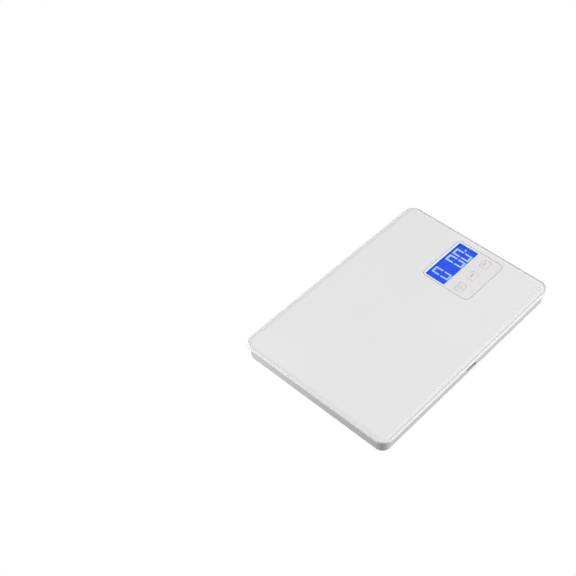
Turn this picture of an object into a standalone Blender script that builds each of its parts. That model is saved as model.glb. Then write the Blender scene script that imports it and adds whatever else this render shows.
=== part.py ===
"""Slim rechargeable kitchen scale, modelled as the separate pieces that it comes apart into.

World frame: metres, +Z up, origin on the bench under the middle of the scale. +X runs along the
long side towards the display and +Y away from the user, so the charging recess is in the -Y wall.
The plate, the carrier and the shell are one rigid case. It stands on four feet, and each foot
bears on the tongue of its own load cell. Three keys travel in the control panel.
"""

import math

import bmesh
import bpy
from mathutils import Vector

mm = 0.001
GAP = 0.3 * mm  # clearance kept between neighbouring solids
MOST_CORNER_STEPS = 8  # straight steps in a quarter turn of the largest outlines

# Overall size
LENGTH = 260 * mm
DEPTH = 180 * mm
HEIGHT = 20.5 * mm
CORNER_RADIUS = 12.3 * mm

# Platform plate
PLATE_ROUNDOVER = 2.0 * mm
PLATE_RIM_HEIGHT = 2.2 * mm
PLATE_SKIN = 1.2 * mm

# Body shell
SHELL_INSET = 3.2 * mm  # how far the plate overhangs it
SHELL_WALL = 2.0 * mm
SHELL_FLOOR = 1.8 * mm
SHELL_LIFT = 1.9 * mm  # bench to the underside of the shell
SHELL_ROUNDOVER = 1.5 * mm

# Carrier under the plate
CARRIER_SKIN = 1.6 * mm
CARRIER_TOP = HEIGHT - 2.4 * mm
RIB_DEPTH = 3.5 * mm
RIB_WALL = 1.2 * mm
TAPE_THICKNESS = 0.6 * mm

# Control panel
PANEL_CENTRE = (89.0 * mm, -9.6 * mm)
PANEL_SIZE = (62.3 * mm, 57.2 * mm)
PANEL_RADIUS = 5.5 * mm
PANEL_THICKNESS = 2.1 * mm
PANEL_LEDGE = 2.0 * mm  # how far the panel's edge laps over the carrier's opening
PANEL_OPENING_RADIUS = 0.8 * mm
WINDOW_CENTRE = (89.0 * mm, 4.3 * mm)
WINDOW_SIZE = (58.0 * mm, 24.2 * mm)
WINDOW_RADIUS = 1.8 * mm
LENS_THICKNESS = 1.6 * mm
LENS_SUNK = 0.1 * mm

# Keys
KEY_NAMES = ("power", "tare", "unit")
KEY_PITCH = 20.9 * mm
KEY_ROW_Y = -22.2 * mm
KEY_SIZE = (11.5 * mm, 8.4 * mm)
KEY_RADIUS = 1.6 * mm
KEY_FLANGE = 0.6 * mm  # how far the flange laps under the panel, beyond the key
KEY_TRAVEL = 0.3 * mm

# Display stack and main board
LCD_SIZE = (57.4 * mm, 24.6 * mm)
LCD_THICKNESS = 2.0 * mm
LED_BAR_WIDTH = 3.2 * mm
BOARD_SIZE = (60 * mm, 64 * mm)
BOARD_THICKNESS = 1.0 * mm
BOARD_TOP = 11.0 * mm
CHIPS = {
    "controller_chip": ((84 * mm, -2 * mm), 10 * mm),
    "converter_chip": ((106 * mm, -2 * mm), 7 * mm),
}
CHIP_THICKNESS = 1.5 * mm
BOARD_SCREW_X = 20 * mm
BOARD_SCREW_Y = 29.5 * mm

# Charging recess, socket and board
RECESS_CENTRE = (3.2 * mm, 9.6 * mm)  # X and Z on the front wall
RECESS_SIZE = (14.0 * mm, 6.6 * mm)
SOCKET_SIZE = (9.0 * mm, 7.3 * mm, 3.2 * mm)
SOCKET_WALL = 0.3 * mm
SOCKET_BACK = 1.0 * mm
SOCKET_FRONT_Y = -82.0 * mm
CHARGER_SIZE = (22 * mm, 16 * mm, 1.0 * mm)

# Battery
BATTERY_CENTRE = (-10 * mm, 30 * mm)
BATTERY_SIZE = (60 * mm, 40 * mm, 5.0 * mm)
BATTERY_PAD = (50 * mm, 30 * mm, 0.8 * mm)

# Feet and load cells
FOOT_X = 104 * mm
FOOT_Y = 64 * mm
FOOT_RADIUS = 8.8 * mm
FOOT_LIP = 0.8 * mm  # bench to the cup's lower rim
FOOT_TRAVEL = 0.4 * mm
PAD_RADIUS = 7.0 * mm
PAD_THICKNESS = 1.6 * mm
FLANGE_RADIUS = 10.4 * mm
CELL_SIZE = 30 * mm
CELL_THICKNESS = 1.5 * mm
CELL_LOW = 6.6 * mm
STUD_RADIUS = 1.2 * mm
SEAT_SIZE = 33 * mm

# Fasteners
CASE_SCREWS = (
    (-60 * mm, -77 * mm),
    (60 * mm, -77 * mm),
    (-60 * mm, 77 * mm),
    (60 * mm, 77 * mm),
    (-118 * mm, 0.0),
    (48 * mm, -8.4 * mm),
)
CASE_BOSS_RADIUS = 4.5 * mm
CASE_BOSS_TOP = 7.0 * mm
CASE_POST_RADIUS = 3.5 * mm
CASE_SHANK_RADIUS = 1.3 * mm
CASE_HEAD_RADIUS = 2.5 * mm
CASE_HEAD_HEIGHT = 1.8 * mm
CASE_SHOULDER = 5.2 * mm
CASE_SCREW_TOP = 13.5 * mm
BOARD_SHANK_RADIUS = 1.0 * mm
BOARD_HEAD_RADIUS = 2.0 * mm
BOARD_HEAD_HEIGHT = 1.4 * mm
BOARD_SCREW_TOP = 14.5 * mm
BOARD_POST_RADIUS = 2.7 * mm

# Wiring
CELL_LEAD_RADIUS = 0.9 * mm
POWER_LEAD_RADIUS = 0.8 * mm
LEAD_STEPS = 4  # straight steps between two points of a route

# Levels worked out from the sizes above
RIM_LOW = HEIGHT - PLATE_RIM_HEIGHT
PLATE_UNDER = HEIGHT - PLATE_SKIN
SHELL_TOP = RIM_LOW - GAP
FLOOR_TOP = SHELL_LIFT + SHELL_FLOOR
CARRIER_UNDER = CARRIER_TOP - CARRIER_SKIN
RIB_LOW = CARRIER_UNDER - RIB_DEPTH
PANEL_UNDER = HEIGHT - PANEL_THICKNESS
LENS_TOP = HEIGHT - LENS_SUNK
LCD_TOP = PANEL_UNDER - GAP
GUIDE_TOP = LCD_TOP - LCD_THICKNESS - GAP
TRAY_TOP = GUIDE_TOP - LCD_THICKNESS - GAP
BOARD_UNDER = BOARD_TOP - BOARD_THICKNESS
CELL_TOP = CELL_LOW + CELL_THICKNESS
CHARGER_TOP = RECESS_CENTRE[1] - SOCKET_SIZE[2] / 2 - GAP
CHARGER_CENTRE_Y = SOCKET_FRONT_Y + CHARGER_SIZE[1] / 2
OVERLAP = 0.3 * mm  # how deep a joined shape reaches into its neighbour
BEYOND = 1.0 * mm  # how far a cutter runs past the face that it cuts
CORNERS = {
    "front_left": (-1, -1),
    "front_right": (1, -1),
    "back_left": (-1, 1),
    "back_right": (1, 1),
}


def clear_scene():
    for obj in list(bpy.data.objects):
        bpy.data.objects.remove(obj, do_unlink=True)


def new_collection(name, hidden=False):
    collection = bpy.data.collections.new(name)
    collection.hide_render = hidden
    bpy.context.scene.collection.children.link(collection)
    return collection


def finish(name, colour, roughness, metallic=0.0):
    """One Principled material for one sub-part."""
    material = bpy.data.materials.new(name)
    material.use_nodes = True
    shader = material.node_tree.nodes["Principled BSDF"]
    shader.inputs["Base Color"].default_value = (*colour, 1.0)
    shader.inputs["Roughness"].default_value = roughness
    shader.inputs["Metallic"].default_value = metallic
    return material


def add_object(name, data, collection):
    obj = bpy.data.objects.new(name, data)
    collection.objects.link(obj)
    return obj


def rounded_outline(width, depth, radius, centre=(0.0, 0.0)):
    """Points of a rectangle with round corners, anticlockwise from the right end of the far side."""
    steps = min(MOST_CORNER_STEPS, 2 + int(radius / (1.5 * mm)))
    points = []
    corners = ((1, 1), (-1, 1), (-1, -1), (1, -1))
    for index, (side_x, side_y) in enumerate(corners):
        for step in range(steps + 1):
            angle = math.radians(90 * (index + step / steps))
            x = centre[0] + side_x * (width / 2 - radius) + radius * math.cos(angle)
            y = centre[1] + side_y * (depth / 2 - radius) + radius * math.sin(angle)
            points.append((x, y))
    return points


def square_outline(width, depth, centre=(0.0, 0.0)):
    half_x = width / 2
    half_y = depth / 2
    return [
        (centre[0] + half_x, centre[1] + half_y),
        (centre[0] - half_x, centre[1] + half_y),
        (centre[0] - half_x, centre[1] - half_y),
        (centre[0] + half_x, centre[1] - half_y),
    ]


def circle_outline(radius, centre=(0.0, 0.0), steps=24):
    return [
        (
            centre[0] + radius * math.cos(2 * math.pi * step / steps),
            centre[1] + radius * math.sin(2 * math.pi * step / steps),
        )
        for step in range(steps)
    ]


def mesh_from_curve(obj, collection):
    """Replaces a curve object by the mesh that it makes, with its caps welded on."""
    bpy.context.view_layer.update()
    graph = bpy.context.evaluated_depsgraph_get()
    mesh = bpy.data.meshes.new_from_object(obj.evaluated_get(graph))
    shape = bmesh.new()
    shape.from_mesh(mesh)
    bmesh.ops.remove_doubles(shape, verts=shape.verts, dist=0.001 * mm)
    bmesh.ops.dissolve_limit(
        shape, angle_limit=0.001, verts=shape.verts, edges=shape.edges
    )
    bmesh.ops.recalc_face_normals(shape, faces=shape.faces)
    shape.to_mesh(mesh)
    shape.free()
    name = obj.name
    matrix = obj.matrix_world.copy()
    bpy.data.objects.remove(obj, do_unlink=True)
    made = add_object(name, mesh, collection)
    made.matrix_world = matrix
    return made


def slab(name, outlines, low, high, collection):
    """A flat piece from its outline and the outlines of its holes, between two heights."""
    curve = bpy.data.curves.new(name, "CURVE")
    curve.dimensions = "2D"
    curve.fill_mode = "BOTH"
    curve.extrude = (high - low) / 2
    for outline in outlines:
        spline = curve.splines.new("POLY")
        spline.points.add(len(outline) - 1)
        for point, (x, y) in zip(spline.points, outline):
            point.co = (x, y, 0.0, 1.0)
        spline.use_cyclic_u = True
    obj = add_object(name, curve, collection)
    obj.location.z = (high + low) / 2
    return mesh_from_curve(obj, collection)


def block(name, centre, size, collection):
    """A box from its centre and its three sides."""
    shape = bmesh.new()
    bmesh.ops.create_cube(shape, size=1.0)
    bmesh.ops.scale(shape, vec=Vector(size), verts=shape.verts)
    mesh = bpy.data.meshes.new(name)
    shape.to_mesh(mesh)
    shape.free()
    obj = add_object(name, mesh, collection)
    obj.location = centre
    return obj


def rod(name, centre, radius, low, high, collection, sides=16):
    """An upright cylinder between two heights."""
    shape = bmesh.new()
    bmesh.ops.create_cone(
        shape,
        cap_ends=True,
        segments=sides,
        radius1=radius,
        radius2=radius,
        depth=high - low,
    )
    mesh = bpy.data.meshes.new(name)
    shape.to_mesh(mesh)
    shape.free()
    obj = add_object(name, mesh, collection)
    obj.location = (centre[0], centre[1], (high + low) / 2)
    return obj


def turned(name, centre, profile, collection, sides=20):
    """A turned piece: a profile of (radius, height) points, top to bottom, carried round its axis."""
    mesh = bpy.data.meshes.new(name)
    points = [(radius, 0.0, height) for radius, height in profile]
    edges = [(index, index + 1) for index in range(len(points) - 1)]
    mesh.from_pydata(points, edges, [])
    obj = add_object(name, mesh, collection)
    obj.location = (centre[0], centre[1], 0.0)
    screw = obj.modifiers.new("turn", "SCREW")
    screw.steps = sides
    screw.render_steps = sides
    screw.use_merge_vertices = True
    screw.merge_threshold = 0.00001
    return obj


def round_rim(obj, height, width, segments):
    """Rounds the edges that lie on the outline at one height of the object's own frame."""
    shape = bmesh.new()
    shape.from_mesh(obj.data)
    weight = shape.edges.layers.float.new("bevel_weight_edge")
    for edge in shape.edges:
        level = all(abs(vert.co.z - height) < 0.01 * mm for vert in edge.verts)
        if level and edge.calc_face_angle(0.0) > math.radians(60):
            edge[weight] = 1.0
    shape.to_mesh(obj.data)
    shape.free()
    bevel = obj.modifiers.new("roundover", "BEVEL")
    bevel.limit_method = "WEIGHT"
    bevel.width = width
    bevel.segments = segments
    bevel.use_clamp_overlap = False


def combine(obj, other, operation):
    """Cuts the other shape out of the object, or joins it on, and keeps it as a hidden helper."""
    other.hide_render = True
    other.display_type = "WIRE"
    boolean = obj.modifiers.new(other.name, "BOOLEAN")
    boolean.operation = operation
    boolean.solver = "EXACT"
    boolean.object = other


def smooth_route(points):
    """Points read from a Catmull-Rom curve through the points of a route."""
    route = [Vector(point) for point in points]
    padded = [2 * route[0] - route[1], *route, 2 * route[-1] - route[-2]]
    smooth = []
    for index in range(1, len(padded) - 2):
        before, start, end, after = padded[index - 1 : index + 3]
        for step in range(LEAD_STEPS):
            t = step / LEAD_STEPS
            smooth.append(
                0.5
                * (
                    2 * start
                    + (end - before) * t
                    + (2 * before - 5 * start + 4 * end - after) * t**2
                    + (3 * start - before - 3 * end + after) * t**3
                )
            )
    return [*smooth, route[-1]]


def lead(name, route, radius, collection):
    """A wire lead along a route given in millimetres."""
    curve = bpy.data.curves.new(name, "CURVE")
    curve.dimensions = "3D"
    curve.bevel_depth = radius
    curve.bevel_resolution = 2
    curve.use_fill_caps = True
    points = smooth_route([[value * mm for value in point] for point in route])
    spline = curve.splines.new("POLY")
    spline.points.add(len(points) - 1)
    for point, place in zip(spline.points, points):
        point.co = (*place, 1.0)
    return add_object(name, curve, collection)


def paint(obj, material):
    obj.data.materials.append(material)
    if obj.type == "MESH":
        obj.data.shade_smooth()
        obj.data.set_sharp_from_angle(angle=math.radians(35))
    return obj


def platform_plate(parts, cutters):
    """The weighing platform: a thin skin with a turned-down rim and a rounded top edge."""
    plate = slab(
        "platform_plate",
        [rounded_outline(LENGTH, DEPTH, CORNER_RADIUS)],
        RIM_LOW,
        HEIGHT,
        parts,
    )
    round_rim(plate, PLATE_RIM_HEIGHT / 2, PLATE_ROUNDOVER, 5)
    inset = SHELL_INSET + SHELL_WALL + 0.2 * mm
    pocket = slab(
        "plate_pocket",
        [rounded_outline(LENGTH - 2 * inset, DEPTH - 2 * inset, CORNER_RADIUS - inset)],
        RIM_LOW - BEYOND,
        PLATE_UNDER,
        cutters,
    )
    opening = slab(
        "plate_opening",
        [
            rounded_outline(
                PANEL_SIZE[0] + 2 * GAP,
                PANEL_SIZE[1] + 2 * GAP,
                PANEL_RADIUS + GAP,
                PANEL_CENTRE,
            )
        ],
        RIM_LOW - BEYOND,
        HEIGHT + BEYOND,
        cutters,
    )
    combine(plate, pocket, "DIFFERENCE")
    combine(plate, opening, "DIFFERENCE")
    return paint(plate, finish("plate_lacquer", (0.80, 0.80, 0.79), 0.35))


def platform_adhesive(parts, cutters):
    """Foam tape between the carrier and the plate, cut away round the control panel."""
    inset = 9 * mm
    low = CARRIER_TOP + GAP
    tape = slab(
        "platform_adhesive",
        [rounded_outline(LENGTH - 2 * inset, DEPTH - 2 * inset, 4 * mm)],
        low,
        low + TAPE_THICKNESS,
        parts,
    )
    cutout = block(
        "tape_cutout",
        (*PANEL_CENTRE, low),
        (PANEL_SIZE[0] + 3 * mm, PANEL_SIZE[1] + 3 * mm, 4 * mm),
        cutters,
    )
    combine(tape, cutout, "DIFFERENCE")
    return paint(tape, finish("foam_tape", (0.85, 0.85, 0.82), 0.9))


def carrier_ribs():
    """Centre and plan size of each stiffening rib under the carrier."""
    left = -LENGTH / 2 + 7 * mm
    long_end = 56 * mm
    long_ribs = [
        (((left + long_end) / 2, y), (long_end - left, RIB_WALL))
        for y in (-56 * mm, -28 * mm, 28 * mm, 56 * mm)
    ]
    cross_ribs = [
        ((x, 0.0), (RIB_WALL, DEPTH - 14.4 * mm)) for x in (-80 * mm, -45 * mm, 25 * mm)
    ]
    return long_ribs + cross_ribs


def platform_carrier(parts, cutters):
    """Ribbed frame under the plate: load-cell seats, screw posts and the panel's ledge."""
    inset = SHELL_INSET + SHELL_WALL + 0.8 * mm
    opening = (PANEL_SIZE[0] - 2 * PANEL_LEDGE, PANEL_SIZE[1] - 2 * PANEL_LEDGE)
    length = LENGTH - 2 * inset
    depth = DEPTH - 2 * inset
    carrier = slab(
        "platform_carrier",
        [
            rounded_outline(length, depth, CORNER_RADIUS - inset),
            rounded_outline(*opening, PANEL_OPENING_RADIUS, PANEL_CENTRE),
        ],
        CARRIER_UNDER,
        CARRIER_TOP,
        parts,
    )
    top = CARRIER_UNDER + OVERLAP
    rim = slab(
        "carrier_rim",
        [
            rounded_outline(length - 2 * mm, depth - 2 * mm, 6 * mm),
            rounded_outline(length - 4.4 * mm, depth - 4.4 * mm, 4.8 * mm),
        ],
        RIB_LOW,
        top,
        cutters,
    )
    combine(carrier, rim, "UNION")
    collar = slab(
        "panel_collar",
        [
            square_outline(opening[0] + 2.4 * mm, opening[1] + 2.4 * mm, PANEL_CENTRE),
            rounded_outline(*opening, PANEL_OPENING_RADIUS, PANEL_CENTRE),
        ],
        RIB_LOW,
        top,
        cutters,
    )
    combine(carrier, collar, "UNION")
    for index, (centre, size) in enumerate(carrier_ribs()):
        rib = block(
            f"carrier_rib_{index}",
            (*centre, (RIB_LOW + 0.4 * mm + top) / 2),
            (*size, top - RIB_LOW - 0.4 * mm),
            cutters,
        )
        combine(carrier, rib, "UNION")
    for name, (side_x, side_y) in CORNERS.items():
        centre = (side_x * FOOT_X, side_y * FOOT_Y)
        seat = slab(
            f"cell_seat_{name}",
            [
                square_outline(SEAT_SIZE, SEAT_SIZE, centre),
                square_outline(SEAT_SIZE - 8 * mm, SEAT_SIZE - 8 * mm, centre),
            ],
            CELL_LOW - GAP,
            top,
            cutters,
        )
        socket = slab(
            f"cell_socket_{name}",
            [square_outline(CELL_SIZE + 2 * GAP, CELL_SIZE + 2 * GAP, centre)],
            CELL_LOW - GAP - BEYOND,
            CELL_TOP + GAP,
            cutters,
        )
        combine(carrier, seat, "UNION")
        combine(carrier, socket, "DIFFERENCE")
    for index, centre in enumerate(CASE_SCREWS):
        post = rod(
            f"case_post_{index}", centre, CASE_POST_RADIUS, CASE_BOSS_TOP + GAP, top, cutters
        )
        hole = rod(
            f"case_post_hole_{index}",
            centre,
            CASE_SHANK_RADIUS + GAP,
            CASE_BOSS_TOP - BEYOND,
            CASE_SCREW_TOP + GAP,
            cutters,
            12,
        )
        combine(carrier, post, "UNION")
        combine(carrier, hole, "DIFFERENCE")
    for index, centre in enumerate(board_screw_places()):
        post = rod(
            f"board_post_{index}", centre, BOARD_POST_RADIUS, BOARD_TOP + GAP, top, cutters, 12
        )
        hole = rod(
            f"board_post_hole_{index}",
            centre,
            BOARD_SHANK_RADIUS + GAP,
            BOARD_TOP - BEYOND,
            BOARD_SCREW_TOP + GAP,
            cutters,
            12,
        )
        combine(carrier, post, "UNION")
        combine(carrier, hole, "DIFFERENCE")
    return paint(carrier, finish("carrier_plastic", (0.72, 0.72, 0.71), 0.55))


def board_screw_places():
    return [
        (PANEL_CENTRE[0] + side_x * BOARD_SCREW_X, PANEL_CENTRE[1] + side_y * BOARD_SCREW_Y)
        for side_x, side_y in CORNERS.values()
    ]


def body_shell(parts, cutters):
    """Lower case: side walls and floor, with foot holes, screw bosses and the charging recess."""
    length = LENGTH - 2 * SHELL_INSET
    depth = DEPTH - 2 * SHELL_INSET
    radius = CORNER_RADIUS - SHELL_INSET
    shell = slab(
        "body_shell", [rounded_outline(length, depth, radius)], SHELL_LIFT, SHELL_TOP, parts
    )
    round_rim(shell, (SHELL_LIFT - SHELL_TOP) / 2, SHELL_ROUNDOVER, 4)
    cavity = slab(
        "shell_cavity",
        [
            rounded_outline(
                length - 2 * SHELL_WALL, depth - 2 * SHELL_WALL, radius - SHELL_WALL
            )
        ],
        FLOOR_TOP,
        SHELL_TOP + BEYOND,
        cutters,
    )
    combine(shell, cavity, "DIFFERENCE")
    for index, centre in enumerate(CASE_SCREWS):
        boss = rod(
            f"case_boss_{index}",
            centre,
            CASE_BOSS_RADIUS,
            FLOOR_TOP - OVERLAP,
            CASE_BOSS_TOP,
            cutters,
        )
        hole = rod(
            f"case_boss_hole_{index}",
            centre,
            CASE_SHANK_RADIUS + GAP,
            SHELL_LIFT - BEYOND,
            CASE_BOSS_TOP + BEYOND,
            cutters,
            12,
        )
        counterbore = rod(
            f"case_counterbore_{index}",
            centre,
            CASE_HEAD_RADIUS + GAP,
            SHELL_LIFT - BEYOND,
            CASE_SHOULDER,
            cutters,
        )
        combine(shell, boss, "UNION")
        combine(shell, hole, "DIFFERENCE")
        combine(shell, counterbore, "DIFFERENCE")
    for name, (side_x, side_y) in CORNERS.items():
        hole = rod(
            f"foot_hole_{name}",
            (side_x * FOOT_X, side_y * FOOT_Y),
            FOOT_RADIUS + 0.4 * mm,
            SHELL_LIFT - BEYOND,
            FLOOR_TOP + BEYOND,
            cutters,
            24,
        )
        combine(shell, hole, "DIFFERENCE")
    recess = slab(
        "charging_recess",
        [rounded_outline(*RECESS_SIZE, 1.6 * mm)],
        -4 * mm,
        4 * mm,
        cutters,
    )
    recess.rotation_euler.x = math.radians(90)
    recess.location = (RECESS_CENTRE[0], -DEPTH / 2 + SHELL_INSET, RECESS_CENTRE[1])
    combine(shell, recess, "DIFFERENCE")
    return paint(shell, finish("shell_plastic", (0.46, 0.47, 0.46), 0.42))


def control_panel(parts, cutters):
    """Inset panel with the openings for the display and the keys."""
    panel = slab(
        "control_panel",
        [
            rounded_outline(*PANEL_SIZE, PANEL_RADIUS, PANEL_CENTRE),
            rounded_outline(*WINDOW_SIZE, WINDOW_RADIUS, WINDOW_CENTRE),
        ],
        PANEL_UNDER,
        HEIGHT,
        parts,
    )
    for name, centre in key_places().items():
        opening = slab(
            f"{name}_key_opening",
            [
                rounded_outline(
                    KEY_SIZE[0] + 2 * GAP, KEY_SIZE[1] + 2 * GAP, KEY_RADIUS + GAP, centre
                )
            ],
            PANEL_UNDER - BEYOND,
            HEIGHT + BEYOND,
            cutters,
        )
        combine(panel, opening, "DIFFERENCE")
    return paint(panel, finish("panel_plastic", (0.82, 0.81, 0.81), 0.3))


def display_window(parts):
    """Clear lens, set in the panel a little below its face."""
    lens = slab(
        "display_window",
        [
            rounded_outline(
                WINDOW_SIZE[0] - 2 * GAP,
                WINDOW_SIZE[1] - 2 * GAP,
                WINDOW_RADIUS - GAP,
                WINDOW_CENTRE,
            )
        ],
        LENS_TOP - LENS_THICKNESS,
        LENS_TOP,
        parts,
    )
    return paint(lens, finish("clear_lens", (0.10, 0.20, 0.90), 0.05))


def display_stack(parts):
    """Liquid-crystal cell, light guide, lamp bar, tray and ribbon, from the top down."""
    centre_x, centre_y = WINDOW_CENTRE
    glass = block(
        "lcd_glass",
        (centre_x, centre_y, LCD_TOP - LCD_THICKNESS / 2),
        (*LCD_SIZE, LCD_THICKNESS),
        parts,
    )
    paint(glass, finish("liquid_crystal_glass", (0.05, 0.12, 0.85), 0.1))
    guide_length = LCD_SIZE[0] - LED_BAR_WIDTH - GAP
    guide_middle = GUIDE_TOP - LCD_THICKNESS / 2
    guide = block(
        "lcd_light_guide",
        (centre_x - (LED_BAR_WIDTH + GAP) / 2, centre_y, guide_middle),
        (guide_length, LCD_SIZE[1], LCD_THICKNESS),
        parts,
    )
    paint(guide, finish("light_guide_acrylic", (0.75, 0.83, 1.0), 0.2))
    lamps = block(
        "backlight_led_bar",
        (centre_x + (LCD_SIZE[0] - LED_BAR_WIDTH) / 2, centre_y, guide_middle),
        (LED_BAR_WIDTH, LCD_SIZE[1] - 4 * mm, LCD_THICKNESS),
        parts,
    )
    paint(lamps, finish("lamp_bar_white", (0.9, 0.9, 0.85), 0.4))
    tray_low = BOARD_TOP + GAP
    tray = slab(
        "lcd_tray",
        [
            square_outline(*LCD_SIZE, WINDOW_CENTRE),
            square_outline(LCD_SIZE[0] - 4 * mm, LCD_SIZE[1] - 4 * mm, WINDOW_CENTRE),
        ],
        tray_low,
        TRAY_TOP,
        parts,
    )
    paint(tray, finish("tray_plastic", (0.88, 0.88, 0.86), 0.5))
    ribbon_y = centre_y - LCD_SIZE[1] / 2 - 1.2 * mm
    ribbon = slab(
        "lcd_ribbon",
        [ribbon_section(tray_low, LCD_TOP - 0.6 * mm)],
        -18 * mm,
        18 * mm,
        parts,
    )
    ribbon.rotation_euler = (math.radians(90), 0.0, math.radians(90))
    ribbon.location = (centre_x, ribbon_y, 0.0)
    paint(ribbon, finish("ribbon_film", (0.55, 0.35, 0.12), 0.35))


def ribbon_section(low, high):
    """Side view of the ribbon: a thin strip with a foot on the board and a lip at the display."""
    thickness = 0.4 * mm
    return [
        (-1.6 * mm, low + thickness),
        (-1.6 * mm, low),
        (thickness / 2, low),
        (thickness / 2, high - thickness),
        (0.9 * mm, high - thickness),
        (0.9 * mm, high),
        (-thickness / 2, high),
        (-thickness / 2, low + thickness),
    ]


def main_board(parts):
    """Circuit board under the panel, with four screw holes and its two chips underneath."""
    holes = [
        circle_outline(BOARD_SHANK_RADIUS + GAP, centre, 12) for centre in board_screw_places()
    ]
    board = slab(
        "main_board",
        [square_outline(*BOARD_SIZE, PANEL_CENTRE), *holes],
        BOARD_UNDER,
        BOARD_TOP,
        parts,
    )
    paint(board, finish("board_green", (0.03, 0.22, 0.10), 0.35))
    for name, (centre, side) in CHIPS.items():
        chip = block(
            name,
            (*centre, BOARD_UNDER - GAP - CHIP_THICKNESS / 2),
            (side, side, CHIP_THICKNESS),
            parts,
        )
        paint(chip, finish(f"{name}_epoxy", (0.02, 0.02, 0.02), 0.4))


def key_places():
    return {
        name: (WINDOW_CENTRE[0] + (index - 1) * KEY_PITCH, KEY_ROW_Y)
        for index, name in enumerate(KEY_NAMES)
    }


def keys(parts, cutters):
    """Each key is a cap with a flange that holds it under the panel and a stem over its switch."""
    flange_top = PANEL_UNDER - GAP
    flange_low = flange_top - 1.0 * mm
    stem_low = flange_low - 0.3 * mm
    plunger_top = stem_low - KEY_TRAVEL - 0.2 * mm
    switch_low = BOARD_TOP + GAP
    for name, centre in key_places().items():
        cap = slab(
            f"{name}_key",
            [rounded_outline(*KEY_SIZE, KEY_RADIUS, centre)],
            flange_top - OVERLAP,
            HEIGHT,
            parts,
        )
        flange = slab(
            f"{name}_key_flange",
            [
                rounded_outline(
                    KEY_SIZE[0] + 2 * GAP + 2 * KEY_FLANGE,
                    KEY_SIZE[1] + 2 * GAP + 2 * KEY_FLANGE,
                    KEY_RADIUS,
                    centre,
                )
            ],
            flange_low,
            flange_top,
            cutters,
        )
        stem = rod(
            f"{name}_key_stem", centre, 2 * mm, stem_low, flange_low + OVERLAP, cutters, 16
        )
        combine(cap, flange, "UNION")
        combine(cap, stem, "UNION")
        paint(cap, finish(f"{name}_key_plastic", (0.80, 0.79, 0.79), 0.32))
        body_top = plunger_top - 1.0 * mm
        switch = block(
            f"{name}_key_switch",
            (*centre, (switch_low + body_top) / 2),
            (6 * mm, 6 * mm, body_top - switch_low),
            parts,
        )
        plunger = rod(
            f"{name}_switch_plunger",
            centre,
            1.7 * mm,
            body_top - OVERLAP,
            plunger_top,
            cutters,
            16,
        )
        combine(switch, plunger, "UNION")
        paint(switch, finish(f"{name}_switch_plastic", (0.06, 0.06, 0.06), 0.45))


def charging_socket(parts, cutters):
    """The socket is a thin metal sleeve with a back wall and a tongue, on its own small board."""
    width, depth, height = SOCKET_SIZE
    socket = slab(
        "usb_socket",
        [rounded_outline(width, height, height / 2 - 0.01 * mm)],
        -depth / 2,
        depth / 2,
        parts,
    )
    cavity = slab(
        "socket_cavity",
        [
            rounded_outline(
                width - 2 * SOCKET_WALL,
                height - 2 * SOCKET_WALL,
                height / 2 - SOCKET_WALL - 0.01 * mm,
            )
        ],
        -depth / 2,
        depth / 2,
        cutters,
    )
    middle = (RECESS_CENTRE[0], SOCKET_FRONT_Y + depth / 2, RECESS_CENTRE[1])
    for obj in (socket, cavity):
        obj.rotation_euler.x = math.radians(90)
        obj.location = middle
    cavity.location.y -= SOCKET_BACK
    tongue = block(
        "socket_tongue",
        (middle[0], middle[1] + SOCKET_BACK / 2, middle[2]),
        (6.2 * mm, depth - 2 * SOCKET_BACK, 0.7 * mm),
        cutters,
    )
    combine(socket, cavity, "DIFFERENCE")
    combine(socket, tongue, "UNION")
    paint(socket, finish("socket_steel", (0.62, 0.62, 0.63), 0.28, 1.0))
    board = block(
        "charging_board",
        (RECESS_CENTRE[0], CHARGER_CENTRE_Y, CHARGER_TOP - CHARGER_SIZE[2] / 2),
        CHARGER_SIZE,
        parts,
    )
    paint(board, finish("charger_green", (0.03, 0.22, 0.10), 0.35))


def battery(parts):
    """Flat lithium cell on an adhesive pad, on the shell's floor."""
    pad_low = FLOOR_TOP + GAP
    pad = block(
        "battery_pad",
        (*BATTERY_CENTRE, pad_low + BATTERY_PAD[2] / 2),
        BATTERY_PAD,
        parts,
    )
    paint(pad, finish("pad_foam", (0.80, 0.80, 0.76), 0.9))
    cell_low = pad_low + BATTERY_PAD[2] + GAP
    cell = slab(
        "battery",
        [rounded_outline(BATTERY_SIZE[0], BATTERY_SIZE[1], 2 * mm, BATTERY_CENTRE)],
        cell_low,
        cell_low + BATTERY_SIZE[2],
        parts,
    )
    paint(cell, finish("battery_pouch", (0.62, 0.63, 0.65), 0.3, 0.8))


def slot_outline(centre, side):
    """U-shaped slot that frees the load cell's tongue: open towards the middle of the scale."""
    outer = 9.5 * mm
    inner = 8.0 * mm
    back = 9.0 * mm
    corners = [
        (-outer, -outer),
        (back, -outer),
        (back, -inner),
        (-inner, -inner),
        (-inner, inner),
        (back, inner),
        (back, outer),
        (-outer, outer),
    ]
    return [(centre[0] - side * x, centre[1] + y) for x, y in corners]


def load_cells(parts):
    """A spring-steel plate over each foot, whose tongue carries the strain gauge."""
    steel = finish("load_cell_steel", (0.60, 0.61, 0.62), 0.35, 1.0)
    for name, (side_x, side_y) in CORNERS.items():
        centre = (side_x * FOOT_X, side_y * FOOT_Y)
        cell = slab(
            f"load_cell_{name}",
            [
                square_outline(CELL_SIZE, CELL_SIZE, centre),
                slot_outline(centre, side_x),
                circle_outline(STUD_RADIUS + 0.4 * mm, centre, 16),
            ],
            CELL_LOW,
            CELL_TOP,
            parts,
        )
        paint(cell, steel)


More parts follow.
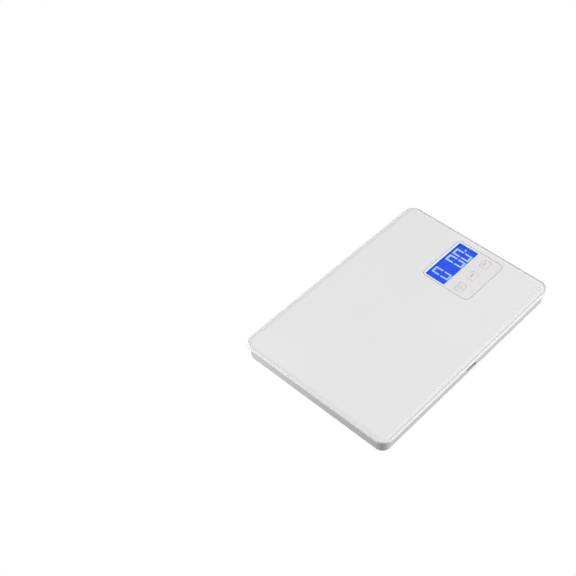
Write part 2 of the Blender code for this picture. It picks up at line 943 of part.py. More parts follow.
def foot_profile():
    """Half section of the foot cup, from the stud's top down to the recess that holds the pad."""
    flange_low = FLOOR_TOP + 0.6 * mm
    flange_top = flange_low + 1.0 * mm
    boss_top = CELL_LOW - FOOT_TRAVEL - 0.1 * mm
    stud_top = CELL_TOP + 1.4 * mm
    recess_radius = PAD_RADIUS + GAP
    recess_top = PAD_THICKNESS + GAP
    return [
        (0.0, stud_top),
        (STUD_RADIUS, stud_top),
        (STUD_RADIUS, boss_top),
        (3.2 * mm, boss_top),
        (3.2 * mm, flange_top),
        (FLANGE_RADIUS, flange_top),
        (FLANGE_RADIUS, flange_low),
        (FOOT_RADIUS, flange_low),
        (FOOT_RADIUS, FOOT_LIP + 0.4 * mm),
        (FOOT_RADIUS - 0.4 * mm, FOOT_LIP),
        (recess_radius, FOOT_LIP),
        (recess_radius, recess_top),
        (0.0, recess_top),
    ]


def pad_profile():
    """Half section of the rubber pad, with a small rounded edge on the bench."""
    return [
        (0.0, PAD_THICKNESS),
        (PAD_RADIUS, PAD_THICKNESS),
        (PAD_RADIUS, 0.5 * mm),
        (PAD_RADIUS - 0.2 * mm, 0.15 * mm),
        (PAD_RADIUS - 0.6 * mm, 0.0),
        (0.0, 0.0),
    ]


def feet(parts):
    """Four feet: each a moulded cup that slides up through the floor, with a rubber pad."""
    cup_plastic = finish("foot_plastic", (0.30, 0.30, 0.31), 0.5)
    pad_rubber = finish("foot_rubber", (0.05, 0.05, 0.05), 0.85)
    for name, (side_x, side_y) in CORNERS.items():
        centre = (side_x * FOOT_X, side_y * FOOT_Y)
        paint(turned(f"foot_cup_{name}", centre, foot_profile(), parts), cup_plastic)
        paint(turned(f"foot_pad_{name}", centre, pad_profile(), parts), pad_rubber)


def screw_profile(head_low, head_height, head_radius, shank_radius, tip):
    """Half section of a screw that points up, with a drive hollow in its head."""
    hollow_radius = 0.45 * head_radius
    return [
        (0.0, tip),
        (0.4 * shank_radius, tip),
        (shank_radius, tip - 1.2 * mm),
        (shank_radius, head_low + head_height),
        (head_radius, head_low + head_height),
        (head_radius, head_low + 0.3 * head_height),
        (0.8 * head_radius, head_low),
        (hollow_radius, head_low),
        (hollow_radius, head_low + 0.5 * head_height),
        (0.0, head_low + 0.5 * head_height),
    ]


def screws(parts):
    steel = finish("screw_steel", (0.55, 0.55, 0.56), 0.3, 1.0)
    case_head_low = CASE_SHOULDER - GAP - CASE_HEAD_HEIGHT
    case_profile = screw_profile(
        case_head_low, CASE_HEAD_HEIGHT, CASE_HEAD_RADIUS, CASE_SHANK_RADIUS, CASE_SCREW_TOP
    )
    for index, centre in enumerate(CASE_SCREWS):
        paint(turned(f"case_screw_{index + 1}", centre, case_profile, parts, 12), steel)
    board_head_low = BOARD_UNDER - GAP - BOARD_HEAD_HEIGHT
    board_profile = screw_profile(
        board_head_low, BOARD_HEAD_HEIGHT, BOARD_HEAD_RADIUS, BOARD_SHANK_RADIUS, BOARD_SCREW_TOP
    )
    for index, centre in enumerate(board_screw_places()):
        paint(turned(f"board_screw_{index + 1}", centre, board_profile, parts, 8), steel)


# Routes in millimetres. Each load-cell lead starts beside its foot, runs on the floor and turns
# up to the underside of the main board. The power leads cross above them.
CELL_ROUTES = {
    "front_left": (
        (-92.2, -60, 5),
        (-84, -59, 5),
        (-60, -56, 5),
        (-20, -47, 5),
        (25, -38, 5),
        (50, -30, 5),
        (61, -25, 5.4),
        (65, -24, 7.4),
        (65, -24, 9.3),
    ),
    "back_left": (
        (-92.2, 60, 5),
        (-84, 60, 5),
        (-50, 61, 5),
        (0, 59, 5),
        (35, 44, 5),
        (52, 22, 5),
        (61, 10, 5.4),
        (65, 8, 7.4),
        (65, 8, 9.3),
    ),
    "front_right": (
        (100, -52.2, 5),
        (99, -47, 5),
        (97, -41, 5),
        (96, -36.4, 5.8),
        (96, -35, 7.6),
        (96, -35, 9.3),
    ),
    "back_right": (
        (100, 52.2, 5),
        (99, 44, 5),
        (97, 28, 5),
        (96, 20, 5.8),
        (96, 18.4, 7.6),
        (96, 18.4, 9.3),
    ),
}
BATTERY_ROUTE = (
    (-6, 9.6, 7.8),
    (-6, 5, 7.8),
    (-7, -14, 7.8),
    (-5, -40, 7.8),
    (-3.4, -57, 7.4),
    (-3, -62, 7.2),
    (-3, -65.6, 7.2),
)
CHARGING_ROUTE = (
    (10, -65.6, 7.2),
    (10, -62, 7.2),
    (14, -57, 6.8),
    (35, -51, 6.0),
    (54, -42, 5.2),
    (61, -36, 5.4),
    (65, -34, 7.4),
    (65, -34, 9.3),
)


def wiring(parts):
    grey = finish("cell_lead_sleeve", (0.75, 0.75, 0.73), 0.5)
    red = finish("battery_lead_sleeve", (0.55, 0.03, 0.02), 0.45)
    black = finish("charging_lead_sleeve", (0.04, 0.04, 0.04), 0.45)
    for name, route in CELL_ROUTES.items():
        paint(lead(f"load_cell_lead_{name}", route, CELL_LEAD_RADIUS, parts), grey)
    paint(lead("battery_lead", BATTERY_ROUTE, POWER_LEAD_RADIUS, parts), red)
    paint(lead("charging_lead", CHARGING_ROUTE, POWER_LEAD_RADIUS, parts), black)


def main():
    clear_scene()
    parts = new_collection("kitchen_scale")
    cutters = new_collection("cutters", hidden=True)
    platform_plate(parts, cutters)
    platform_adhesive(parts, cutters)
    platform_carrier(parts, cutters)
    body_shell(parts, cutters)
    control_panel(parts, cutters)
    display_window(parts)
    display_stack(parts)
    main_board(parts)
    keys(parts, cutters)
    charging_socket(parts, cutters)
    battery(parts)
    load_cells(parts)
    feet(parts)
    screws(parts)
    wiring(parts)


main()
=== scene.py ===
import math
import bmesh
import bpy
import numpy as np
from mathutils import Matrix, Vector


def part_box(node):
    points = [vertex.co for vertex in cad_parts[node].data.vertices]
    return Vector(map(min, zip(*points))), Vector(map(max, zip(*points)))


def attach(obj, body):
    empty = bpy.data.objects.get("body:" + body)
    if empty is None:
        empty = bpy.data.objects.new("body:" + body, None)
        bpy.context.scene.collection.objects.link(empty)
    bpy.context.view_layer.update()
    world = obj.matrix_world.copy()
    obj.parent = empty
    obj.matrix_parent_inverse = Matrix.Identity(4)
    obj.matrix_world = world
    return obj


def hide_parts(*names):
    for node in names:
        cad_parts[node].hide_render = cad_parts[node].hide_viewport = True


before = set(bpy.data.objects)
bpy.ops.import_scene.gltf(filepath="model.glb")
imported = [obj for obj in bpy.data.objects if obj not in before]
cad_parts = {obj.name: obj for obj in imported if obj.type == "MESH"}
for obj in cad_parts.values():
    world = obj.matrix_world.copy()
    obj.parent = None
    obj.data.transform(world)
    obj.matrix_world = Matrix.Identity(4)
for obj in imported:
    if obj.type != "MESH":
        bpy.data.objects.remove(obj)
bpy.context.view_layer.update()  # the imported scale: its case, its three keys and its four feet
mm = 0.001
corners = ("front_left", "front_right", "back_left", "back_right")
keyNames = ("power", "tare", "unit")
plateLow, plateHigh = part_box("platform_plate")
topZ = plateHigh.z  # the face of the platform, where the panel and the keys end too


# camera and stage

shot = {
    "azimuth": -44.9,  # degrees: 0 looks along +Y
    "elevation": 47.8,
    "roll": -2.33,
    "distance": 1.1275,  # metres from the point looked at
    "lookAt": (-0.0482, 0.1056, topZ),
    "lens": 69.88,
}


def placeCamera():
    # the camera stands back from its target along the view direction, then rolls about it
    turn = math.radians(shot["azimuth"])
    rise = math.radians(shot["elevation"])
    forward = Vector(
        (-math.sin(turn) * math.cos(rise), math.cos(turn) * math.cos(rise), -math.sin(rise))
    )
    data = bpy.data.cameras.new("studioCamera")
    data.lens = shot["lens"]
    data.sensor_width = 36.0
    data.clip_start = 0.01
    camera = bpy.data.objects.new("studioCamera", data)
    camera.location = Vector(shot["lookAt"]) - shot["distance"] * forward
    level = forward.to_track_quat("-Z", "Y")
    camera.rotation_mode = "QUATERNION"
    camera.rotation_quaternion = level @ Matrix.Rotation(
        math.radians(shot["roll"]), 3, "Z"
    ).to_quaternion()
    bpy.context.scene.collection.objects.link(camera)
    bpy.context.scene.camera = camera


placeCamera()
print("camera placed")


# surfaces from arrays


def arc(across, up, wide, tall, start, end, steps):
    # points of an ellipse's arc: its middle, its two radii, and degrees from the outward direction
    angle = np.radians(np.linspace(start, end, steps + 1))
    return np.c_[across + wide * np.cos(angle), up + tall * np.sin(angle)]


def outlinePath(size, radius, centre=(0.0, 0.0), cornerSteps=10, edgeSteps=4):
    # a rectangle with quarter-circle corners, anticlockwise, with its outward normals:
    # each corner's arc is followed by evenly spaced points on the straight run after it
    half = np.array(size) / 2 - radius
    points, normals = [], []
    for index, side in enumerate(((1, 1), (-1, 1), (-1, -1), (1, -1))):
        angle = np.radians(90 * (index + np.linspace(0, 1, cornerSteps + 1)))
        normal = np.c_[np.cos(angle), np.sin(angle)]
        arcPoints = np.array(side) * half + radius * normal
        nextSide = ((-1, 1), (-1, -1), (1, -1), (1, 1))[index]
        nextStart = np.array(nextSide) * half + radius * normal[-1]
        part = np.linspace(0, 1, edgeSteps + 2)[1:-1, None]
        run = arcPoints[-1] * (1 - part) + nextStart * part
        points.append(np.r_[arcPoints, run])
        normals.append(np.r_[normal, np.repeat(normal[-1:], edgeSteps, axis=0)])
    return np.concatenate(points) + np.array(centre), np.concatenate(normals)


def carry(path, profile):
    # a profile of (outward offset, height) carried round a path: one ring of points for each
    points, normals = path
    profile = np.atleast_2d(np.array(profile, float))
    flat = points[None] + profile[:, 0, None, None] * normals[None]
    height = np.broadcast_to(profile[:, 1, None, None], (*flat.shape[:2], 1))
    return np.concatenate([flat, height], axis=2)


def alongY(path, stations):
    # an outline in X and Z carried along Y: one ring of points for each (outward offset, y)
    return carry(path, stations)[..., [0, 2, 1]]


def turnProfile(profile, centre, steps=48):
    # a profile of (radius, height) turned round an upright axis
    angle = np.linspace(0, 2 * np.pi, steps, endpoint=False)
    profile = np.array(profile, float)
    x = centre[0] + profile[:, :1] * np.cos(angle)
    y = centre[1] + profile[:, :1] * np.sin(angle)
    z = np.broadcast_to(profile[:, 1:], x.shape)
    return np.stack([x, y, z], axis=2)


def ringFaces(rows, columns, closed):
    # quads between each ring and the next, and from the last back to the first if closed
    low = np.arange(rows if closed else rows - 1)[:, None] * columns
    high = (low + columns) % (rows * columns)
    left = np.arange(columns)[None]
    right = (left + 1) % columns
    quads = (low + left, low + right, high + right, high + left)
    return np.stack(quads, axis=2).reshape(-1, 4)


def ringSolid(rings, closed=False):
    # a closed solid from rings: a tube shut on itself, or one with a flat cap at each end
    rows, columns = rings.shape[:2]
    faces = ringFaces(rows, columns, closed).tolist()
    if not closed:
        faces.append(list(range(columns))[::-1])
        faces.append(list(range((rows - 1) * columns, rows * columns)))
    return rings.reshape(-1, 3), faces


def prism(points, low, high):
    # a flat convex shape between two heights
    flat = np.array(points, float)
    rings = np.stack([np.c_[flat, np.full(len(flat), z)] for z in (low, high)])
    return ringSolid(rings)


def stroke(points, width, low, high, closed=False):
    # a flat pen line: a rectangle carried along a path of points, square to its direction
    line = np.array(points, float)
    if closed:
        along = np.roll(line, -1, axis=0) - np.roll(line, 1, axis=0)
    else:
        along = np.gradient(line, axis=0)
    along /= np.linalg.norm(along, axis=1, keepdims=True)
    side = np.c_[along[:, 1], -along[:, 0]] * width / 2
    section = [(line + side, low), (line + side, high), (line - side, high), (line - side, low)]
    rings = np.stack([np.c_[flat, np.full(len(flat), z)] for flat, z in section], axis=1)
    return ringSolid(rings, closed)


def joinSolids(solids):
    # several solids as one list of points and faces
    points, faces, count = [], [], 0
    for solidPoints, solidFaces in solids:
        points.append(solidPoints)
        faces += [[index + count for index in face] for face in solidFaces]
        count += len(solidPoints)
    return np.concatenate(points), faces


def makeObject(name, solid):
    points, faces = solid
    mesh = bpy.data.meshes.new(name)
    mesh.from_pydata(np.asarray(points).tolist(), [], faces)
    shape = bmesh.new()
    shape.from_mesh(mesh)
    bmesh.ops.remove_doubles(shape, verts=shape.verts, dist=0.0005 * mm)
    bmesh.ops.recalc_face_normals(shape, faces=shape.faces)
    shape.to_mesh(mesh)
    shape.free()
    obj = bpy.data.objects.new(name, mesh)
    bpy.context.scene.collection.objects.link(obj)
    return obj


def applyModifiers(obj):
    bpy.context.view_layer.update()
    graph = bpy.context.evaluated_depsgraph_get()
    mesh = bpy.data.meshes.new_from_object(obj.evaluated_get(graph))
    obj.modifiers.clear()
    old = obj.data
    obj.data = mesh
    bpy.data.meshes.remove(old)


def carve(obj, solid, operation="DIFFERENCE"):
    # cuts one or several solids out of an object, or joins them on
    tool = makeObject("tool", solid)
    boolean = obj.modifiers.new("cut", "BOOLEAN")
    boolean.operation = operation
    boolean.object = tool
    applyModifiers(obj)
    bpy.data.objects.remove(tool, do_unlink=True)


def soften(obj, width):
    bevel = obj.modifiers.new("softEdges", "BEVEL")
    bevel.width = width
    bevel.segments = 2
    bevel.limit_method = "ANGLE"
    bevel.angle_limit = math.radians(40)
    bevel.use_clamp_overlap = True


def place(obj, material, body, nodes=(), angle=35):
    # material, shading, and the body and nodes that the piece stands for
    obj.data.materials.clear()
    obj.data.materials.append(material)
    obj.data.shade_smooth()
    obj.data.set_sharp_from_angle(angle=math.radians(angle))
    weighted = obj.modifiers.new("evenShading", "WEIGHTED_NORMAL")
    weighted.keep_sharp = True
    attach(obj, body)
    if nodes:
        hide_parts(*nodes)
    return obj


def middle(node):
    low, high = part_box(node)
    return (low + high) / 2


def sides(node):
    low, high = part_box(node)
    return high - low


# effects that several materials share


def makeGroup(name, numbers, results):
    # a node group that takes a vector and some numbers, and gives some numbers
    group = bpy.data.node_groups.new(name, "ShaderNodeTree")
    group.interface.new_socket(name="Vector", in_out="INPUT", socket_type="NodeSocketVector")
    for way, labels in (("INPUT", numbers), ("OUTPUT", results)):
        for label in labels:
            group.interface.new_socket(name=label, in_out=way, socket_type="NodeSocketFloat")
    return group, group.nodes.new("NodeGroupInput"), group.nodes.new("NodeGroupOutput")


def node(tree, kind, links=(), **values):
    # a node with some sockets set, and others fed from the links (socket, source socket)
    made = tree.nodes.new(kind)
    for label, value in values.items():
        if hasattr(made, label):
            setattr(made, label, value)
        else:
            made.inputs[label.replace("_", " ")].default_value = value
    for label, source in links:
        tree.links.new(source, made.inputs[label])
    return made


def mathNode(tree, operation, first, second):
    made = tree.nodes.new("ShaderNodeMath")
    made.operation = operation
    for index, value in enumerate((first, second)):
        if isinstance(value, (int, float)):
            made.inputs[index].default_value = value
        else:
            tree.links.new(value, made.inputs[index])
    return made.outputs[0]


def makeGrain():
    # moulded or sprayed texture: fine noise over a slightly coarser cell pattern
    group, start, end = makeGroup("surfaceGrain", ["Scale"], ["Height"])
    vector, scale = start.outputs["Vector"], start.outputs["Scale"]
    links = [("Vector", vector), ("Scale", scale)]
    fine = node(group, "ShaderNodeTexNoise", links, Detail=2.0, Roughness=0.6)
    links = [("Vector", vector), ("Scale", mathNode(group, "MULTIPLY", scale, 0.45))]
    cells = node(group, "ShaderNodeTexVoronoi", links)
    weighted = mathNode(group, "MULTIPLY", cells.outputs["Distance"], 0.4)
    total = mathNode(group, "ADD", fine.outputs["Fac"], weighted)
    group.links.new(total, end.inputs["Height"])
    return group


def makeHandling():
    # roughness that drifts over a surface, with faint wiped streaks along X
    group, start, end = makeGroup("handling", ["Base", "Drift"], ["Roughness", "Mask"])
    links = [("Vector", start.outputs["Vector"])]
    blotch = node(group, "ShaderNodeTexNoise", links, Scale=14.0, Detail=4.0, Roughness=0.55)
    stretched = node(group, "ShaderNodeMapping", links, Scale=(6.0, 90.0, 30.0))
    links = [("Vector", stretched.outputs["Vector"])]
    streak = node(group, "ShaderNodeTexNoise", links, Scale=1.0, Detail=3.0, Roughness=0.5)
    faint = mathNode(group, "MULTIPLY", streak.outputs["Fac"], 0.4)
    both = mathNode(group, "ADD", blotch.outputs["Fac"], faint)
    centred = mathNode(group, "SUBTRACT", both, 0.7)
    drift = mathNode(group, "MULTIPLY", centred, start.outputs["Drift"])
    group.links.new(mathNode(group, "ADD", drift, start.outputs["Base"]), end.inputs["Roughness"])
    group.links.new(both, end.inputs["Mask"])
    return group


grainGroup = makeGrain()
handlingGroup = makeHandling()


def setSockets(shader, values):
    # numbers and colours that are the same all over a surface
    for label, value in values.items():
        shader.inputs[label].default_value = value


def startMaterial(name):
    material = bpy.data.materials.new(name)
    material.use_nodes = True
    tree = material.node_tree
    shader = tree.nodes["Principled BSDF"]
    coordinate = tree.nodes.new("ShaderNodeTexCoord")
    return material, tree, shader, coordinate.outputs["Object"]


def useGroup(tree, group, vector, **values):
    made = tree.nodes.new("ShaderNodeGroup")
    made.node_tree = group
    tree.links.new(vector, made.inputs["Vector"])
    setSockets(made, values)
    return made


def tint(tree, mask, dark, light, low=0.35, high=0.65):
    # colour that moves from dark to light as the mask rises from low to high
    ramp = tree.nodes.new("ShaderNodeValToRGB")
    for end, position, colour in zip(ramp.color_ramp.elements, (low, high), (dark, light)):
        end.position = position
        end.color = (*colour, 1.0)
    tree.links.new(mask, ramp.inputs["Fac"])
    return ramp.outputs["Color"]


def bumpFrom(tree, shader, height, strength, distance):
    bump = node(
        tree, "ShaderNodeBump", [("Height", height)], Strength=strength, Distance=distance
    )
    tree.links.new(bump.outputs["Normal"], shader.inputs["Normal"])


def plastic(
    name, colour, roughness, grain=2500.0, depth=0.01, strength=0.25, spread=0.02, specular=0.5
):
    # moulded plastic: a colour that drifts by the spread, uneven gloss and a fine grain, whose
    # depth is in millimetres
    material, tree, shader, vector = startMaterial(name)
    gloss = useGroup(tree, handlingGroup, vector, Base=roughness, Drift=0.08)
    dark = [value * (1 - spread) for value in colour]
    light = [value * (1 + spread) for value in colour]
    drifting = tint(tree, gloss.outputs["Mask"], dark, light, 0.5, 0.9)
    tree.links.new(drifting, shader.inputs["Base Color"])
    tree.links.new(gloss.outputs["Roughness"], shader.inputs["Roughness"])
    pattern = useGroup(tree, grainGroup, vector, Scale=grain)
    bumpFrom(tree, shader, pattern.outputs["Height"], strength, depth * mm)
    setSockets(shader, {"Specular IOR Level": specular})
    return material


def steel(name, colour, roughness, brushed=(2.0, 600.0, 2.0)):
    # metal with fine brushing: noise stretched along one direction drives gloss and relief
    material, tree, shader, vector = startMaterial(name)
    mapping = node(tree, "ShaderNodeMapping", [("Vector", vector)], Scale=brushed)
    links = [("Vector", mapping.outputs["Vector"])]
    lines = node(tree, "ShaderNodeTexNoise", links, Scale=20.0, Detail=5.0, Roughness=0.7)
    spread = mathNode(tree, "MULTIPLY", lines.outputs["Fac"], 0.25)
    tree.links.new(mathNode(tree, "ADD", spread, roughness - 0.12), shader.inputs["Roughness"])
    dark = [value * 0.86 for value in colour]
    tree.links.new(tint(tree, lines.outputs["Fac"], dark, colour), shader.inputs["Base Color"])
    setSockets(shader, {"Metallic": 1.0})
    bumpFrom(tree, shader, lines.outputs["Fac"], 0.15, 0.01 * mm)
    return material


def lightUp(tree, shader, colour, strength, base):
    # a surface that gives light: its own colour is nearly black and hardly shines
    tree.links.new(colour, shader.inputs["Emission Color"])
    dull = {"Base Color": (*base, 1.0), "Specular IOR Level": 0.1, "Roughness": 0.4}
    setSockets(shader, {"Emission Strength": strength, **dull})


def glow(name, colour, strength):
    # light that drifts softly by a twentieth to either side of its colour
    material, tree, shader, vector = startMaterial(name)
    noise = node(tree, "ShaderNodeTexNoise", [("Vector", vector)], Scale=40.0, Detail=1.0)
    dark = [value * 0.95 for value in colour]
    light = [min(1.0, value * 1.05) for value in colour]
    drifting = tint(tree, noise.outputs["Fac"], dark, light)
    lightUp(tree, shader, drifting, strength, (0.01, 0.015, 0.05))
    return material


# the platform plate

plate = {
    "roundWidth": 1.5 * mm,  # how far in the edge starts to curve down
    "roundDrop": 1.5 * mm,
    "rimChamfer": 0.15 * mm,
    "openingLip": 0.22 * mm,
    "openingBorder": (0.3 * mm, 1.2 * mm),  # rings on the flat just outside the opening's lip
    "openingGap": 0.34 * mm,  # seen between the plate and the panel
    "rimWidth": 5.4 * mm,
    "skin": 1.2 * mm,
    "valleyInset": 5.6 * mm,  # where the top starts to fall towards the foot of the lip
    "valleyDepth": 0.7 * mm,
    "valleyBorder": 0.6 * mm,  # from the last ring on the flat to the start of the fall
    "bend": (0.15 * mm, 0.1 * mm, 0.03 * mm),  # of the fall's start: before, after, drop
    "lipInset": 1.75 * mm,  # the raised lip's inner face, just inside the rounded edge
    "lipFillet": 0.06 * mm,  # at its foot
    "lipLean": 0.02 * mm,  # how far its inner face leans outwards
    "lipChamfer": (0.1 * mm, 0.08 * mm),  # width, height
    "radius": 12.3 * mm,
    "colour": (0.60, 0.60, 0.60),
    "roughness": 0.42,
}
panelMiddle = middle("control_panel")
panelSides = sides("control_panel")
panelRadius = 5.5 * mm


def buildPlate():
    # rings go up the opening's wall, over its lip, across the top to the rounded outer edge,
    # round the rim and back under the skin to the opening
    lip, rim = plate["openingLip"], plate["rimChamfer"]
    width, drop = plate["roundWidth"], plate["roundDrop"]
    low, under = plateLow.z, topZ - plate["skin"]
    gap = plate["openingGap"]
    opening = (panelSides.x + 2 * gap, panelSides.y + 2 * gap)
    inner = outlinePath(opening, panelRadius + gap, panelMiddle[:2], 14, 6)
    outer = outlinePath((2 * plateHigh.x, 2 * plateHigh.y), plate["radius"], (0, 0), 14, 6)
    wall = [(0.0, under), (0.0, topZ - lip - 0.1 * mm)]
    lipArc = arc(lip, topZ - lip, lip, lip, 180, 90, 5)
    shoulder = [(lip + border, topZ) for border in plate["openingBorder"]]
    edgeArc = arc(-width, topZ - drop, width, drop, 90, 0, 16)
    valley, foot, floor = plate["valleyInset"], plate["lipInset"], topZ - plate["valleyDepth"]
    before, after, sag = plate["bend"]
    fillet, (bevelWidth, bevelHeight) = plate["lipFillet"], plate["lipChamfer"]
    inset, corner = plate["rimWidth"], 0.4 * mm
    outside = [
        (-valley - plate["valleyBorder"], topZ),
        (-valley - before, topZ),
        (-valley + after, topZ - sag),
        (-foot - 0.2 * mm, floor + sag),
        (-foot - fillet, floor),
        (-foot, floor + fillet),
        (-foot + plate["lipLean"], topZ - bevelHeight),
        (-foot + bevelWidth, topZ),
        *edgeArc,
        (0.0, low + rim),
        (-rim, low),
        (-inset + rim, low),
        (-inset, low + rim),
        (-inset, under - corner),
        (-inset - corner, under),
    ]
    opened = carry(inner, [*wall, *lipArc, *shoulder])
    back = carry(inner, [(0.6 * mm, under)])
    rings = np.concatenate([opened, carry(outer, outside), back])
    obj = makeObject("platformTop", ringSolid(rings, closed=True))
    texture = {"grain": 1800.0, "depth": 0.006, "strength": 0.18, "spread": 0.008, "specular": 0.1}
    lacquer = plastic("plateLacquer", plate["colour"], plate["roughness"], **texture)
    place(obj, lacquer, "case", ["platform_plate"], 50)


buildPlate()
print("platform plate built")


# the body shell

shellLow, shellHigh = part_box("body_shell")
shell = {
    "radius": 9.1 * mm,
    "roundWidth": 1.6 * mm,
    "roundHeight": 1.6 * mm,
    "wall": 2.0 * mm,
    "floor": 1.8 * mm,
    "colour": (0.46, 0.463, 0.450),
    "roughness": 0.38,
    "recess": (14.0 * mm, 6.2 * mm, 1.6 * mm),  # width, height, corner radius
    "labelSize": (64 * mm, 30 * mm, 3 * mm),
    "labelDepth": 0.25 * mm,
    "boss": (4.5 * mm, 3.2 * mm),  # radius, height above the floor
    "screwHole": 1.6 * mm,
    "counterbore": (2.8 * mm, 0.5 * mm, 0.45 * mm),  # radius, then its bevel's width and height
    "footHole": (9.2 * mm, 1.0 * mm, 0.7 * mm),
}


def shellPost(centre, radius, low, high, steps=40):
    return ringSolid(turnProfile([(radius, low), (radius, high)], centre, steps))


def bevelledHole(centre, size, low, high, steps):
    # a round cutter that widens towards the underside
    radius, bevelWidth, bevelHeight = size
    wide = radius + bevelWidth
    profile = [(wide, low - mm), (wide, low - 0.001 * mm), (radius, low + bevelHeight)]
    return ringSolid(turnProfile([*profile, (radius, high)], centre, steps))


def recessTunnel():
    # a rounded slot through the front wall
    width, height, radius = shell["recess"]
    socket = middle("usb_socket")
    path = outlinePath((width, height), radius, (socket.x, socket.z), 8, 1)
    front = shellLow.y
    stations = [
        (0.9 * mm, front - 1.0 * mm),
        (0.5 * mm, front - 0.01 * mm),
        (0.15 * mm, front + 0.25 * mm),
        (0.0, front + 0.55 * mm),
        (0.0, front + shell["wall"] + 1.0 * mm),
    ]
    return ringSolid(alongY(path, stations))


def buildShell():
    # rings go from the floor's underside, round the bottom edge, up the wall, over its top
    # and down inside; then the holes are cut
    path = outlinePath((2 * shellHigh.x, 2 * shellHigh.y), shell["radius"], (0, 0), 14, 6)
    width, height = shell["roundWidth"], shell["roundHeight"]
    low, high, wall = shellLow.z, shellHigh.z, shell["wall"]
    floorTop = low + shell["floor"]
    bottomArc = arc(-width, low + height, width, height, -90, 0, 12)
    profile = [
        (-width - 3 * mm, low),
        (-width - 0.3 * mm, low),
        *bottomArc,
        (0.0, low + height + 0.3 * mm),
        (0.0, high - 0.2 * mm),
        (-0.2 * mm, high),
        (-wall + 0.2 * mm, high),
        (-wall, high - 0.2 * mm),
        (-wall, floorTop),
    ]
    obj = makeObject("bodyShell", ringSolid(carry(path, profile)))
    bosses, holes = [], []
    bossRadius, bossHeight = shell["boss"]
    for index in range(1, 7):
        screw = middle(f"case_screw_{index}")
        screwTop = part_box(f"case_screw_{index}")[0].z
        bosses.append(shellPost(screw, bossRadius, floorTop - 0.5 * mm, floorTop + bossHeight))
        holes.append(shellPost(screw, shell["screwHole"], low - mm, floorTop + 5 * mm, 24))
        holes.append(bevelledHole(screw, shell["counterbore"], low, screwTop + 2.1 * mm, 40))
    carve(obj, joinSolids(bosses), "UNION")
    for hole in holes:
        carve(obj, hole)
    for name in corners:
        foot = middle(f"foot_cup_{name}")
        carve(obj, bevelledHole(foot, shell["footHole"], low, floorTop + mm, 56))
    *labelSize, labelRadius = shell["labelSize"]
    label = outlinePath(labelSize, labelRadius, (0, 0), 6, 1)
    carve(obj, ringSolid(carry(label, [(0.3 * mm, low - mm), (0.0, low + shell["labelDepth"])])))
    carve(obj, recessTunnel())
    texture = {"grain": 1400.0, "depth": 0.012, "strength": 0.3, "specular": 0.35}
    grey = plastic("shellPlastic", shell["colour"], shell["roughness"], **texture)
    place(obj, grey, "case", ["body_shell"], 32)


buildShell()
print("body shell built")


# the control panel and its keys

panel = {
    "edge": 0.2 * mm,
    "keyGap": 0.12 * mm,
    "colour": (0.592, 0.580, 0.585),
    "roughness": 0.28,
    "keyColour": (0.588, 0.577, 0.581),
    "trimWidth": 0.95 * mm,  # the pale frame round the window
    "trimColour": (0.54, 0.64, 0.78),
    # painted glow: the plastic frame round the window gives off a faint blue light, though it is
    # no lamp
    "trimPaintedGlow": 0.12,
    "keyRound": 0.5 * mm,
    "inks": {"power": (0.29, 0.33, 0.31), "tare": (0.13, 0.15, 0.145), "unit": (0.27, 0.29, 0.28)},
    "pens": {"power": 0.55 * mm, "tare": 0.5 * mm, "unit": 0.36 * mm},
    "inkRaise": 0.03 * mm,
    "texture": {"grain": 2200.0, "depth": 0.006, "strength": 0.18, "spread": 0.01},
}
lensMiddle = middle("display_window")
lensSides = sides("display_window")
windowSize = (lensSides.x + 0.6 * mm, lensSides.y + 0.6 * mm, 1.8 * mm)
keySize = (11.5 * mm, 8.4 * mm, 1.6 * mm)


def buildPanel():
    # a flat plate with rounded top edges, then the openings are cut and their edges softened
    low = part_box("control_panel")[0].z
    path = outlinePath((panelSides.x, panelSides.y), panelRadius, panelMiddle[:2], 14, 4)
    edge = panel["edge"]
    profile = [
        (-edge, low),
        (0.0, low + edge),
        *arc(-edge, topZ - edge, edge, edge, 0, 90, 5),
    ]
    obj = makeObject("controlPanel", ringSolid(carry(path, profile)))
    window = outlinePath(windowSize[:2], windowSize[2], (lensMiddle.x, lensMiddle.y), 8, 1)
    wide = panel["trimWidth"]
    ledge = topZ - 1.1 * mm
    step = [(0.0, low - mm), (0.0, ledge), (wide, ledge), (wide, topZ + mm)]
    carve(obj, ringSolid(carry(window, step)))
    for name in keyNames:
        key = middle(f"{name}_key")
        gap = panel["keyGap"]
        size = (keySize[0] + 2 * gap, keySize[1] + 2 * gap)
        opening = outlinePath(size, keySize[2] + gap, (key.x, key.y), 8, 1)
        cut = [(0.0, low - mm), (0.0, topZ - edge), (edge, topZ), (edge, topZ + mm)]
        carve(obj, ringSolid(carry(opening, cut)))
    texture = panel["texture"]
    film = plastic("panelFilm", panel["colour"], panel["roughness"], specular=0.25, **texture)
    place(obj, film, "case", ["control_panel"], 25)


def buildTrim():
    # a pale frame set in the panel round the window: its top slopes down towards the lens; it is
    # given a faint painted blue glow of its own
    window = outlinePath(windowSize[:2], windowSize[2], (lensMiddle.x, lensMiddle.y), 10, 3)
    wide = panel["trimWidth"] - 0.03 * mm
    section = [
        (-0.12 * mm, topZ - 1.0 * mm),
        (wide, topZ - 1.0 * mm),
        (wide, topZ - 0.05 * mm),
        (wide - 0.1 * mm, topZ - 0.02 * mm),
        (0.1 * mm, topZ - 0.2 * mm),
        (-0.12 * mm, topZ - 0.32 * mm),
    ]
    trim = makeObject("windowTrim", ringSolid(carry(window, section), closed=True))
    texture = {"grain": 2200.0, "depth": 0.004, "strength": 0.1, "spread": 0.01}
    pale = plastic("trimPlastic", panel["trimColour"], 0.3, **texture)
    # painted glow: a faint blue emission on the frame's plastic, which is no lamp
    lit = {"Emission Color": (0.45, 0.72, 1.0, 1.0), "Emission Strength": panel["trimPaintedGlow"]}
    setSockets(pale.node_tree.nodes["Principled BSDF"], lit)
    place(trim, pale, "case")


